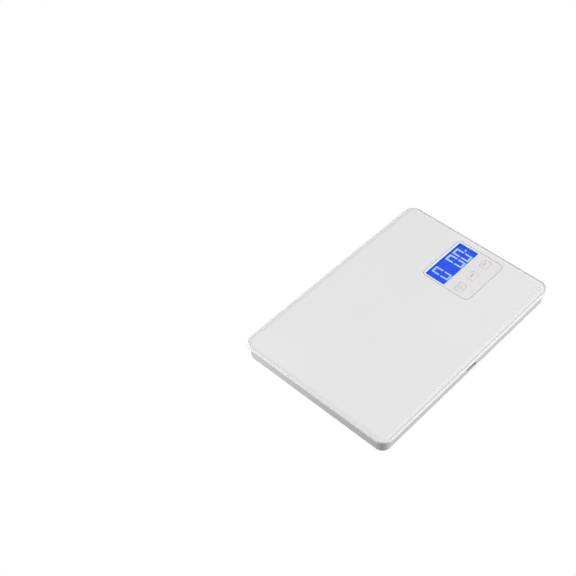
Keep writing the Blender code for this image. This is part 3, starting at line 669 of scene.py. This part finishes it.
def buildKey(name):
    # a cap with a rounded top edge and a nearly flat face, shrunk ring by ring to its middle
    key = middle(f"{name}_key")
    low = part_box(f"{name}_key")[0].z
    path = outlinePath(keySize[:2], keySize[2], (key.x, key.y), 10, 2)
    rounded = panel["keyRound"]
    face = topZ - panel["inkRaise"] - 0.02 * mm
    flange = face - 2.4 * mm
    profile = [
        (-keySize[2], low + 0.4 * mm),
        (0.6 * mm, low + 0.4 * mm),
        (0.6 * mm, flange),
        (0.0, flange + 0.2 * mm),
        *arc(-rounded, face - rounded, rounded, rounded, 0, 78, 7),
    ]
    rings = carry(path, profile)
    centre = np.array([key.x, key.y, face])
    last = rings[-1]
    dome = [centre + (last - centre) * np.array([s, s, s**3]) for s in (0.96, 0.85, 0.6, 0.3)]
    obj = makeObject(f"{name}KeyCap", ringSolid(np.concatenate([rings, np.stack(dome)])))
    return obj, face


def arrowHead(point, y, reach, half, low, high):
    # a triangle that points along X, to the left if its reach is negative
    head = [(point, y), (point - reach, y + half), (point - reach, y - half)]
    return prism(head[::-1] if reach > 0 else head, low, high)


def powerIcon(x, y, low, high):
    # a broken ring with a bar in its gap
    pen = panel["pens"]["power"]
    bar = [(x, y + rise * mm) for rise in (0.7, 1.6, 2.6)]
    ring = arc(x, y, 2.0 * mm, 2.0 * mm, 122, 418, 27)
    return [stroke(ring, pen, low, high), stroke(bar, pen, low, high)]


def tareIcon(x, y, low, high):
    # a nought between two arrows that point at it
    pen = panel["pens"]["tare"]
    nought = arc(x, y, 0.75 * mm, 0.75 * mm, 0, 345, 23)
    solids = [stroke(nought, pen, low, high, True)]
    for side in (-1, 1):
        tip = x + side * 1.35 * mm
        tail = x + side * 3.1 * mm
        solids.append(stroke([(tail, y), ((tail + tip) / 2, y), (tip, y)], pen, low, high))
        solids.append(arrowHead(tip, y, -side * 0.95 * mm, 0.72 * mm, low, high))
    return solids


def unitIcon(x, y, low, high):
    # two thin arrows that point opposite ways
    pen = panel["pens"]["unit"]
    solids = []
    for side in (-1, 1):
        height = y + side * 0.55 * mm
        tip = x + side * 2.3 * mm
        tail = x - side * 2.1 * mm
        solids.append(stroke([(tail, height), (x, height), (tip, height)], pen, low, high))
        point = tip + side * 0.5 * mm
        solids.append(arrowHead(point, height, side * mm, 0.5 * mm, low, high))
    return solids


def buildKeys():
    texture = panel["texture"]
    capPlastic = plastic("keyPlastic", panel["keyColour"], 0.3, specular=0.25, **texture)
    icons = {"power": powerIcon, "tare": tareIcon, "unit": unitIcon}
    for name in keyNames:
        cap, face = buildKey(name)
        place(cap, capPlastic, f"{name}_key", [f"{name}_key"], 40)
        key = middle(f"{name}_key")
        solids = icons[name](key.x, key.y + 0.9 * mm, face - 0.1 * mm, face + panel["inkRaise"])
        icon = makeObject(f"{name}KeyIcon", joinSolids(solids))
        ink = plastic(f"{name}KeyInk", panel["inks"][name], 0.45, 3000.0, 0.004, 0.1, 0.05)
        place(icon, ink, f"{name}_key")


buildPanel()
buildTrim()
buildKeys()
print("panel and keys built")


# the display

display = {
    "blue": (0.012, 0.080, 0.86),
    "edgeBlue": (0.010, 0.060, 0.56),
    "edgeFade": 2.6 * mm,  # how far in the field reaches its full brightness
    "lit": (0.42, 0.60, 1.0),
    "dim": (0.35, 0.52, 0.98),  # the first digit and the one lit mark, a little fainter
    "ghost": (0.013, 0.072, 0.80),
    "digitWidth": 9.1 * mm,
    "digitHeight": 20.4 * mm,
    "strokeWidth": 2.1 * mm,
    "split": 1.3 * mm,  # between the upper and lower bars of a side
    "pitch": 11.38 * mm,
    "firstX": -16.5 * mm,  # first digit's middle, from the window's middle
    "middleY": -0.1 * mm,
    "shown": ("abcdef", "", "abcdef", "abcdef"),
    "lensEdge": 0.18 * mm,
    "lensRadius": 1.5 * mm,
    "lensRoughness": 0.004,
    "lensDrift": 0.006,
    "lensIndex": 1.22,  # as with a coating that cuts reflections
}


def pulledIn(points, distance):
    # each corner moved a set distance towards the middle of the shape
    points = np.array(points)
    inward = points.mean(axis=0) - points
    return points + inward * distance / np.linalg.norm(inward, axis=1, keepdims=True)


def digitSegments(x, y):
    # the seven bars of a digit, a to g in the usual order: four sides meet at mitred corners,
    # each upright is split at mid-height, and the middle bar has pointed ends
    half, tall = display["digitWidth"] / 2, display["digitHeight"] / 2
    wide, gap = display["strokeWidth"], display["split"] / 2
    bars = {}
    for name, rise in (("a", 1), ("d", -1)):
        outer, inner = rise * tall, rise * (tall - wide)
        bars[name] = [(-half, outer), (half, outer), (half - wide, inner), (wide - half, inner)]
    for name, run, rise in (("f", -1, 1), ("b", 1, 1), ("e", -1, -1), ("c", 1, -1)):
        bars[name] = [
            (run * half, rise * tall),
            (run * (half - wide), rise * (tall - wide)),
            (run * (half - wide), rise * (gap + 0.25 * wide)),
            (run * (half - wide / 2), rise * gap),
            (run * half, rise * (gap + 0.1 * wide)),
        ]
    end, bar = half - wide / 2, wide * 0.42
    upper = [(-end, 0), (bar - end, bar), (end - bar, bar)]
    bars["g"] = upper + [(-across, -up) for across, up in upper]
    middleOfDigit = np.array([x, y])
    return {name: pulledIn(points, 0.1 * mm) + middleOfDigit for name, points in bars.items()}


def displayMarks(x, y):
    # small marks beside the digits: two dots after the first digit and three bars at the end,
    # of which only the middle bar is lit
    marks = []
    for dx, dy, width, height in (
        (-10.1 * mm, 6.2 * mm, 1.3 * mm, 1.6 * mm),
        (-10.1 * mm, -2.6 * mm, 1.3 * mm, 1.6 * mm),
        (24.6 * mm, 7.4 * mm, 1.9 * mm, 3.4 * mm),
        (25.0 * mm, 1.3 * mm, 2.9 * mm, 2.0 * mm),
        (24.6 * mm, -5.6 * mm, 1.9 * mm, 6.2 * mm),
    ):
        low = np.array([x + dx - width / 2, y + dy - height / 2])
        marks.append(low + np.array([(0, 0), (width, 0), (width, height), (0, height)]))
    return marks


def fieldMaterial():
    # a lit blue field: the distance to the nearest edge fades it from a darker blue, and a soft
    # noise keeps it from being flat
    material, tree, shader, vector = startMaterial("displayBlue")
    split = node(tree, "ShaderNodeSeparateXYZ", [("Vector", vector)])
    nearest = None
    for axis, centre, half in (
        ("X", lensMiddle.x, windowSize[0] / 2),
        ("Y", lensMiddle.y, windowSize[1] / 2),
    ):
        away = mathNode(tree, "SUBTRACT", split.outputs[axis], centre)
        inside = mathNode(tree, "SUBTRACT", half, mathNode(tree, "ABSOLUTE", away, 0.0))
        nearest = inside if nearest is None else mathNode(tree, "MINIMUM", nearest, inside)
    fade = mathNode(tree, "DIVIDE", nearest, display["edgeFade"])
    noise = node(tree, "ShaderNodeTexNoise", [("Vector", vector)], Scale=60.0, Detail=2.0)
    drift = mathNode(tree, "MULTIPLY", mathNode(tree, "SUBTRACT", noise.outputs["Fac"], 0.5), 0.3)
    mask = mathNode(tree, "ADD", fade, drift)
    colour = tint(tree, mask, display["edgeBlue"], display["blue"], 0.35, 1.0)
    lightUp(tree, shader, colour, 1.0, (0.004, 0.008, 0.03))
    return material


def lensMaterial():
    material, tree, shader, vector = startMaterial("lensClear")
    drift = {"Base": display["lensRoughness"], "Drift": display["lensDrift"]}
    gloss = useGroup(tree, handlingGroup, vector, **drift)
    tree.links.new(gloss.outputs["Roughness"], shader.inputs["Roughness"])
    clear = {"Base Color": (1.0, 1.0, 1.0, 1.0), "Transmission Weight": 1.0}
    setSockets(shader, {**clear, "IOR": display["lensIndex"]})
    return material


def buildLens():
    # a clear slab with softened edges
    low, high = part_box("display_window")
    edge, radius = display["lensEdge"], display["lensRadius"]
    path = outlinePath((lensSides.x, lensSides.y), radius, (lensMiddle.x, lensMiddle.y), 10, 3)
    profile = [
        (-edge, low.z),
        (0.0, low.z + edge),
        *arc(-edge, high.z - edge, edge, edge, 0, 90, 4),
    ]
    lens = makeObject("displayLens", ringSolid(carry(path, profile)))
    place(lens, lensMaterial(), "case", ["display_window"], 60)


def buildDisplay():
    x, y = lensMiddle.x, lensMiddle.y
    cellLow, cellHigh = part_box("lcd_glass")
    size = (cellHigh.x - cellLow.x, cellHigh.y - cellLow.y)
    field = outlinePath(size, 0.6 * mm, (x, y), 3, 2)
    section = [(-0.2 * mm, cellLow.z), (0, cellLow.z + 0.2 * mm), (0, cellHigh.z)]
    cell = makeObject("displayCell", ringSolid(carry(field, section)))
    place(cell, fieldMaterial(), "case", ["lcd_glass"])
    low, high = cellHigh.z + 0.01 * mm, cellHigh.z + 0.05 * mm
    groups = {"lit": [], "dim": [], "ghost": []}
    for index, shown in enumerate(display["shown"]):
        digitX = x + display["firstX"] + index * display["pitch"]
        for name, shape in digitSegments(digitX, y + display["middleY"]).items():
            group = "ghost" if name not in shown else "dim" if index == 0 else "lit"
            groups[group].append(prism(shape, low, high))
    for index, shape in enumerate(displayMarks(x, y)):
        groups["dim" if index == 3 else "ghost"].append(prism(shape, low, high))
    for group, solids in groups.items():
        piece = makeObject(f"displayBars_{group}", joinSolids(solids))
        place(piece, glow(f"barGlow_{group}", display[group], 1.0), "case")


buildLens()
buildDisplay()
print("display built")


# feet, seen from below and under the edge

footLook = {
    "cupColour": (0.23, 0.23, 0.235),
    "rubberColour": (0.035, 0.035, 0.036),
    "grooves": (2.2 * mm, 4.0 * mm, 5.6 * mm),  # radii of the pad's rings
    "grooveWidth": 0.5 * mm,
    "grooveDepth": 0.35 * mm,
    "cupRadius": 8.8 * mm,
    "cupHollow": 7.3 * mm,
    "flangeRadius": 10.4 * mm,
    "padRadius": 7.0 * mm,
    "padRound": 0.5 * mm,
}


def buildFoot(name, cupPlastic, rubber):
    cupLow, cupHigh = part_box(f"foot_cup_{name}")
    padLow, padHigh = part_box(f"foot_pad_{name}")
    centre = middle(f"foot_cup_{name}")
    radius, hollow, flange = footLook["cupRadius"], footLook["cupHollow"], footLook["flangeRadius"]
    flangeLow = cupHigh.z - 5.25 * mm
    lip = cupLow.z
    recess = padHigh.z + 0.3 * mm
    profile = [
        (0.3 * mm, recess),
        (hollow - 0.1 * mm, recess),
        (hollow, recess - 0.1 * mm),
        (hollow, lip + 0.25 * mm),
        *arc(hollow + 0.25 * mm, lip + 0.25 * mm, 0.25 * mm, 0.25 * mm, 180, 270, 4),
        *arc(radius - 0.5 * mm, lip + 0.5 * mm, 0.5 * mm, 0.5 * mm, 270, 360, 6),
        (radius, flangeLow),
        (flange, flangeLow),
        (flange, flangeLow + 1.0 * mm),
        (3.2 * mm, flangeLow + 1.0 * mm),
        (3.2 * mm, flangeLow + 1.7 * mm),
        (1.2 * mm, flangeLow + 1.8 * mm),
        (1.2 * mm, cupHigh.z - 0.3 * mm),
        (0.9 * mm, cupHigh.z),
    ]
    cup = makeObject(f"footCup_{name}", ringSolid(turnProfile(profile, centre, 72)))
    place(cup, cupPlastic, f"foot_{name}", [f"foot_cup_{name}"], 40)
    half, depth = footLook["grooveWidth"] / 2, footLook["grooveDepth"]
    face = [(0.3 * mm, padLow.z)]
    for groove in footLook["grooves"]:
        face += [
            (groove - half - 0.15 * mm, padLow.z),
            (groove - half, padLow.z + depth),
            (groove + half, padLow.z + depth),
            (groove + half + 0.15 * mm, padLow.z),
        ]
    wide, rounded = footLook["padRadius"], footLook["padRound"]
    padProfile = [
        *face,
        *arc(wide - rounded, padLow.z + rounded, rounded, rounded, 270, 360, 6),
        (wide, padHigh.z - 0.1 * mm),
        (wide - 0.1 * mm, padHigh.z),
        (0.3 * mm, padHigh.z),
    ]
    pad = makeObject(f"footPad_{name}", ringSolid(turnProfile(padProfile, centre, 72)))
    place(pad, rubber, f"foot_{name}", [f"foot_pad_{name}"], 40)


cupPlastic = plastic("footPlastic", footLook["cupColour"], 0.5, 1600.0, 0.015, 0.3, 0.04)
padTexture = {"grain": 900.0, "depth": 0.03, "strength": 0.5, "spread": 0.1, "specular": 0.3}
padRubber = plastic("footRubber", footLook["rubberColour"], 0.8, **padTexture)
for cornerName in corners:
    buildFoot(cornerName, cupPlastic, padRubber)
print("feet built")


# case screws in their counterbores


screwLook = {
    "headRadius": 2.5 * mm,
    "headHeight": 1.8 * mm,
    "domeHeight": 0.55 * mm,
    "shankRadius": 1.3 * mm,
    "threadPitch": 0.9 * mm,
    "threadDepth": 0.14 * mm,  # of the ripple, to either side of its middle
    "threadRings": 60,
    "around": 40,
    # millimetres up, half the blade's length, half its width
    "slot": ((-0.2, 1.45, 0.34), (0.0, 1.4, 0.34), (0.9, 0.6, 0.2)),
}


def screwHead(node):
    # a domed head on a threaded shank: the thread is a helical ripple on the radius
    low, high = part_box(node)
    centre = middle(node)
    head, shank, dome = (screwLook[part] for part in ("headRadius", "shankRadius", "domeHeight"))
    neck, count = low.z + screwLook["headHeight"], screwLook["threadRings"]
    domeArc = arc(0.0, low.z + dome, head, dome, -82, 0, 7)
    turns = np.linspace(neck + 0.3 * mm, high.z - 1.2 * mm, count)
    profile = [*domeArc, (head, neck), (shank, neck + 0.01 * mm), *((shank, z) for z in turns)]
    rings = turnProfile([*profile, (0.35 * shank, high.z)], centre, screwLook["around"])
    angle = np.linspace(0, 2 * np.pi, screwLook["around"], endpoint=False)
    phase = 2 * np.pi * (turns[:, None] - low.z) / screwLook["threadPitch"]
    ripple = screwLook["threadDepth"] * (np.cos(angle[None] - phase) - 1)
    first = len(domeArc) + 2
    rings[first : first + count, :, 0] += ripple * np.cos(angle)
    rings[first : first + count, :, 1] += ripple * np.sin(angle)
    return rings, centre, low


def crossSlot(centre, low):
    # two crossed blades that narrow with depth
    blades = []
    for turn in (0.0, math.pi / 2):
        spin = np.array([[math.cos(turn), math.sin(turn)], [-math.sin(turn), math.cos(turn)]])
        rings = []
        for z, length, width in screwLook["slot"]:
            signs = np.array([(1, -1), (1, 1), (-1, 1), (-1, -1)])
            flat = signs * (length, width) * mm @ spin
            rings.append(np.c_[flat + np.array(centre[:2]), np.full(4, low.z + z * mm)])
        blades.append(ringSolid(np.stack(rings)))
    return blades


screwSteel = steel("screwSteel", (0.58, 0.57, 0.55), 0.3, (300.0, 300.0, 40.0))
for number in range(1, 7):
    nodeName = f"case_screw_{number}"
    screwRings, screwCentre, screwLow = screwHead(nodeName)
    screwPiece = makeObject(f"caseScrew_{number}", ringSolid(screwRings))
    for blade in crossSlot(screwCentre, screwLow):
        carve(screwPiece, blade)
    place(screwPiece, screwSteel, "case", [nodeName], 35)
print("screws built")


# charging socket

socketLook = {
    "wall": 0.3 * mm,
    "tongue": (6.6 * mm, 5.0 * mm, 0.7 * mm),
    "contacts": 8,
    "contactPitch": 0.62 * mm,
}


def boxSolid(low, high):
    outline = [(low[0], low[1]), (high[0], low[1]), (high[0], high[1]), (low[0], high[1])]
    return prism(outline, low[2], high[2])


def buildSocket():
    low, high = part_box("usb_socket")
    centre = middle("usb_socket")
    height = high.z - low.z
    wall = socketLook["wall"]
    radius = height / 2 - 0.02 * mm
    path = outlinePath((high.x - low.x, height), radius, (centre.x, centre.z), 12, 3)
    stations = [
        (-wall, high.y - 1.2 * mm),
        (-wall, low.y + 0.25 * mm),
        (-wall + 0.1 * mm, low.y),
        (-0.1 * mm, low.y),
        (0.0, low.y + 0.1 * mm),
        (0.0, high.y - 0.2 * mm),
        (-0.2 * mm, high.y),
    ]
    sleeve = makeObject("socketSleeve", ringSolid(alongY(path, stations)))
    bright = steel("socketSteel", (0.66, 0.66, 0.67), 0.25)
    place(sleeve, bright, "case", ["usb_socket"], 40)
    width, depth, thickness = socketLook["tongue"]
    back = high.y - 1.25 * mm
    tongueLow = (centre.x - width / 2, back - depth, centre.z - thickness / 2)
    tongueHigh = (centre.x + width / 2, back, centre.z + thickness / 2)
    tongue = makeObject("socketTongue", boxSolid(tongueLow, tongueHigh))
    soften(tongue, 0.12 * mm)
    place(tongue, plastic("tonguePlastic", (0.02, 0.02, 0.022), 0.4), "case")
    contacts = []
    count = socketLook["contacts"]
    for index in range(count):
        x = centre.x + (index - (count - 1) / 2) * socketLook["contactPitch"]
        for side in (-1, 1):
            faces = [centre.z + side * (thickness / 2 + out * mm) for out in (-0.02, 0.04)]
            near = (x - 0.13 * mm, back - depth + 0.5 * mm, min(faces))
            contacts.append(boxSolid(near, (x + 0.13 * mm, back - 0.2 * mm, max(faces))))
    gold = makeObject("socketContacts", joinSolids(contacts))
    place(gold, steel("contactGold", (0.85, 0.62, 0.25), 0.25), "case")


buildSocket()
print("socket built")


# pieces inside the case keep their CAD shape and get their own finishes


def circuitBoard(name, mask, track):
    # solder mask with lighter tracks: cells of a grid joined by thresholded noise
    material, tree, shader, vector = startMaterial(name)
    brick = node(tree, "ShaderNodeTexBrick", [("Vector", vector)], Scale=160.0, offset=0.5)
    paler = [value * 1.25 for value in mask]
    setSockets(brick, {"Color1": (*mask, 1), "Color2": (*paler, 1), "Mortar": (*track, 1)})
    tree.links.new(brick.outputs["Color"], shader.inputs["Base Color"])
    gloss = useGroup(tree, handlingGroup, vector, Base=0.3, Drift=0.1)
    tree.links.new(gloss.outputs["Roughness"], shader.inputs["Roughness"])
    bumpFrom(tree, shader, brick.outputs["Fac"], 0.3, 0.02 * mm)
    return material


screwsInside = [f"board_screw_{number}" for number in range(1, 5)]
chips = ["controller_chip", "converter_chip", *(f"{name}_key_switch" for name in keyNames)]
cellLeads = [f"load_cell_lead_{name}" for name in corners]
tape = {"grain": 700.0, "depth": 0.08, "strength": 0.6, "spread": 0.04}
innerFinishes = [
    (plastic("carrierPlastic", (0.66, 0.66, 0.65), 0.5), ["platform_carrier"]),
    (plastic("foamTape", (0.80, 0.80, 0.76), 0.9, **tape), ["platform_adhesive", "battery_pad"]),
    (plastic("whitePlastic", (0.82, 0.82, 0.79), 0.4), ["lcd_tray", "backlight_led_bar"]),
    (glow("guideAcrylic", (0.45, 0.6, 1.0), 0.6), ["lcd_light_guide"]),
    (circuitBoard("greenMask", (0.012, 0.12, 0.05), (0.05, 0.30, 0.13)), ["main_board"]),
    (circuitBoard("darkMask", (0.010, 0.011, 0.012), (0.030, 0.032, 0.034)), ["charging_board"]),
    (plastic("chipEpoxy", (0.018, 0.018, 0.02), 0.5, depth=0.02, strength=0.4), chips),
    (plastic("ribbonFilm", (0.50, 0.27, 0.06), 0.3), ["lcd_ribbon"]),
    (steel("batteryFoil", (0.62, 0.63, 0.65), 0.35, (40.0, 60.0, 40.0)), ["battery"]),
    (steel("cellSteel", (0.60, 0.61, 0.62), 0.35), [f"load_cell_{name}" for name in corners]),
    (plastic("greySleeve", (0.62, 0.62, 0.60), 0.5), cellLeads),
    (plastic("redSleeve", (0.45, 0.02, 0.015), 0.45), ["battery_lead"]),
    (plastic("blackSleeve", (0.025, 0.025, 0.026), 0.45), ["charging_lead"]),
    (screwSteel, screwsInside),
]
for finish, names in innerFinishes:
    for nodeName in names:
        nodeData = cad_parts[nodeName].data
        nodeData.materials.clear()
        nodeData.materials.append(finish)
print("inner pieces finished")


# floor, world and lights

studio = {
    "floorReach": 40.0,
    "floorColour": 0.1,
    "floorGlow": 0.58,  # what the floor sheds on the object
    "floorSeen": 1.0,  # what the camera sees of it
    "floorDrop": 0.15 * mm,  # below the feet, so that the two faces never share a plane
    "skyTop": 0.55,  # world brightness overhead
    "skySide": 0.22,  # at the horizon
    "skyFront": 0.0,  # low down on the shaded side
    "skySeen": 1.0,  # what a view along the horizon shows in its place
    "frontTurn": -131.0,  # degrees from +X to the shaded side
    "lights": {
        # name: (place, width, power, colour, whether its reflection shows)
        "overhead": ((-0.05, -0.05, 1.7), 1.1, 20.2, (1.0, 1.0, 1.0), True),
        "rightFill": ((1.70, -2.07, 0.65), 1.44, 82.0, (1.0, 1.0, 1.0), False),
        "leftFill": ((-0.42, 0.28, 0.05), 0.1, 1.2, (1.0, 1.0, 0.99), False),
    },
}


def mixShaders(tree, factor, first, second):
    mix = tree.nodes.new("ShaderNodeMixShader")
    tree.links.new(factor, mix.inputs[0])
    tree.links.new(first.outputs[0], mix.inputs[1])
    tree.links.new(second.outputs[0], mix.inputs[2])
    return mix


def buildFloor():
    reach, low = studio["floorReach"], -studio["floorDrop"]
    mesh = bpy.data.meshes.new("floor")
    outline = [(x * reach, y * reach, low) for x, y in ((-1, -1), (1, -1), (1, 1), (-1, 1))]
    mesh.from_pydata(outline, [], [(0, 1, 2, 3)])
    floor = bpy.data.objects.new("floor", mesh)
    bpy.context.scene.collection.objects.link(floor)
    material, tree, shader, vector = startMaterial("floorPaper")
    paper = node(tree, "ShaderNodeTexNoise", [("Vector", vector)], Scale=900.0, Detail=2.0)
    white = studio["floorColour"]
    colour = tint(tree, paper.outputs["Fac"], [white * 0.99] * 3, [white] * 3)
    tree.links.new(colour, shader.inputs["Base Color"])
    setSockets(shader, {"Roughness": 0.9, "Specular IOR Level": 0.1})
    lit = {"Emission Color": (1, 1, 1, 1), "Emission Strength": studio["floorGlow"]}
    setSockets(shader, lit)
    # the camera sees an even white paper, and from below it sees through the floor, so that the
    # underside can be looked at
    seen = node(tree, "ShaderNodeEmission", Strength=studio["floorSeen"])
    clear = tree.nodes.new("ShaderNodeBsdfTransparent")
    cameraRay = node(tree, "ShaderNodeLightPath").outputs["Is Camera Ray"]
    fromBelow = node(tree, "ShaderNodeNewGeometry").outputs["Backfacing"]
    paperSeen = mixShaders(tree, cameraRay, shader, seen)
    oneSided = mixShaders(tree, fromBelow, paperSeen, clear)
    tree.links.new(oneSided.outputs[0], tree.nodes["Material Output"].inputs["Surface"])
    mesh.materials.append(material)


def buildWorld():
    # brightness rises from the horizon to the zenith with the height of the direction, and
    # falls with the square of how far the direction points to the shaded side
    world = bpy.data.worlds.new("studioWorld")
    world.use_nodes = True
    tree = world.node_tree
    direction = node(tree, "ShaderNodeTexCoord").outputs["Generated"]
    split = node(tree, "ShaderNodeSeparateXYZ", [("Vector", direction)])
    height = mathNode(tree, "MAXIMUM", split.outputs["Z"], 0.0)
    climb = studio["skyTop"] - studio["skySide"]
    sky = mathNode(tree, "ADD", mathNode(tree, "MULTIPLY", height, climb), studio["skySide"])
    turn = math.radians(studio["frontTurn"])
    partX = mathNode(tree, "MULTIPLY", split.outputs["X"], math.cos(turn))
    partY = mathNode(tree, "MULTIPLY", split.outputs["Y"], math.sin(turn))
    toFront = mathNode(tree, "MAXIMUM", mathNode(tree, "ADD", partX, partY), 0.0)
    drop = studio["skySide"] - studio["skyFront"]
    shade = mathNode(tree, "MULTIPLY", mathNode(tree, "POWER", toFront, 2.0), drop)
    lighting = mathNode(tree, "SUBTRACT", sky, shade)
    glowing = tree.nodes["Background"]
    tree.links.new(lighting, glowing.inputs["Strength"])
    setSockets(glowing, {"Color": (1, 1, 1, 1)})
    seen = tree.nodes.new("ShaderNodeBackground")
    setSockets(seen, {"Color": (1, 1, 1, 1), "Strength": studio["skySeen"]})
    cameraRay = node(tree, "ShaderNodeLightPath").outputs["Is Camera Ray"]
    mix = mixShaders(tree, cameraRay, glowing, seen)
    tree.links.new(mix.outputs[0], tree.nodes["World Output"].inputs["Surface"])
    bpy.context.scene.world = world


def buildLights():
    for name, (spot, width, power, colour, reflected) in studio["lights"].items():
        light = bpy.data.lights.new(name, "AREA")
        light.energy = power
        light.size = width
        light.color = colour
        lamp = bpy.data.objects.new(name, light)
        lamp.location = spot
        lamp.rotation_euler = (-Vector(spot)).to_track_quat("-Z", "Y").to_euler()
        lamp.visible_glossy = reflected
        lamp.visible_transmission = reflected
        lamp.visible_camera = False
        bpy.context.scene.collection.objects.link(lamp)


buildFloor()
buildWorld()
buildLights()
bpy.context.scene.view_settings.view_transform = "Standard"
print("studio ready")
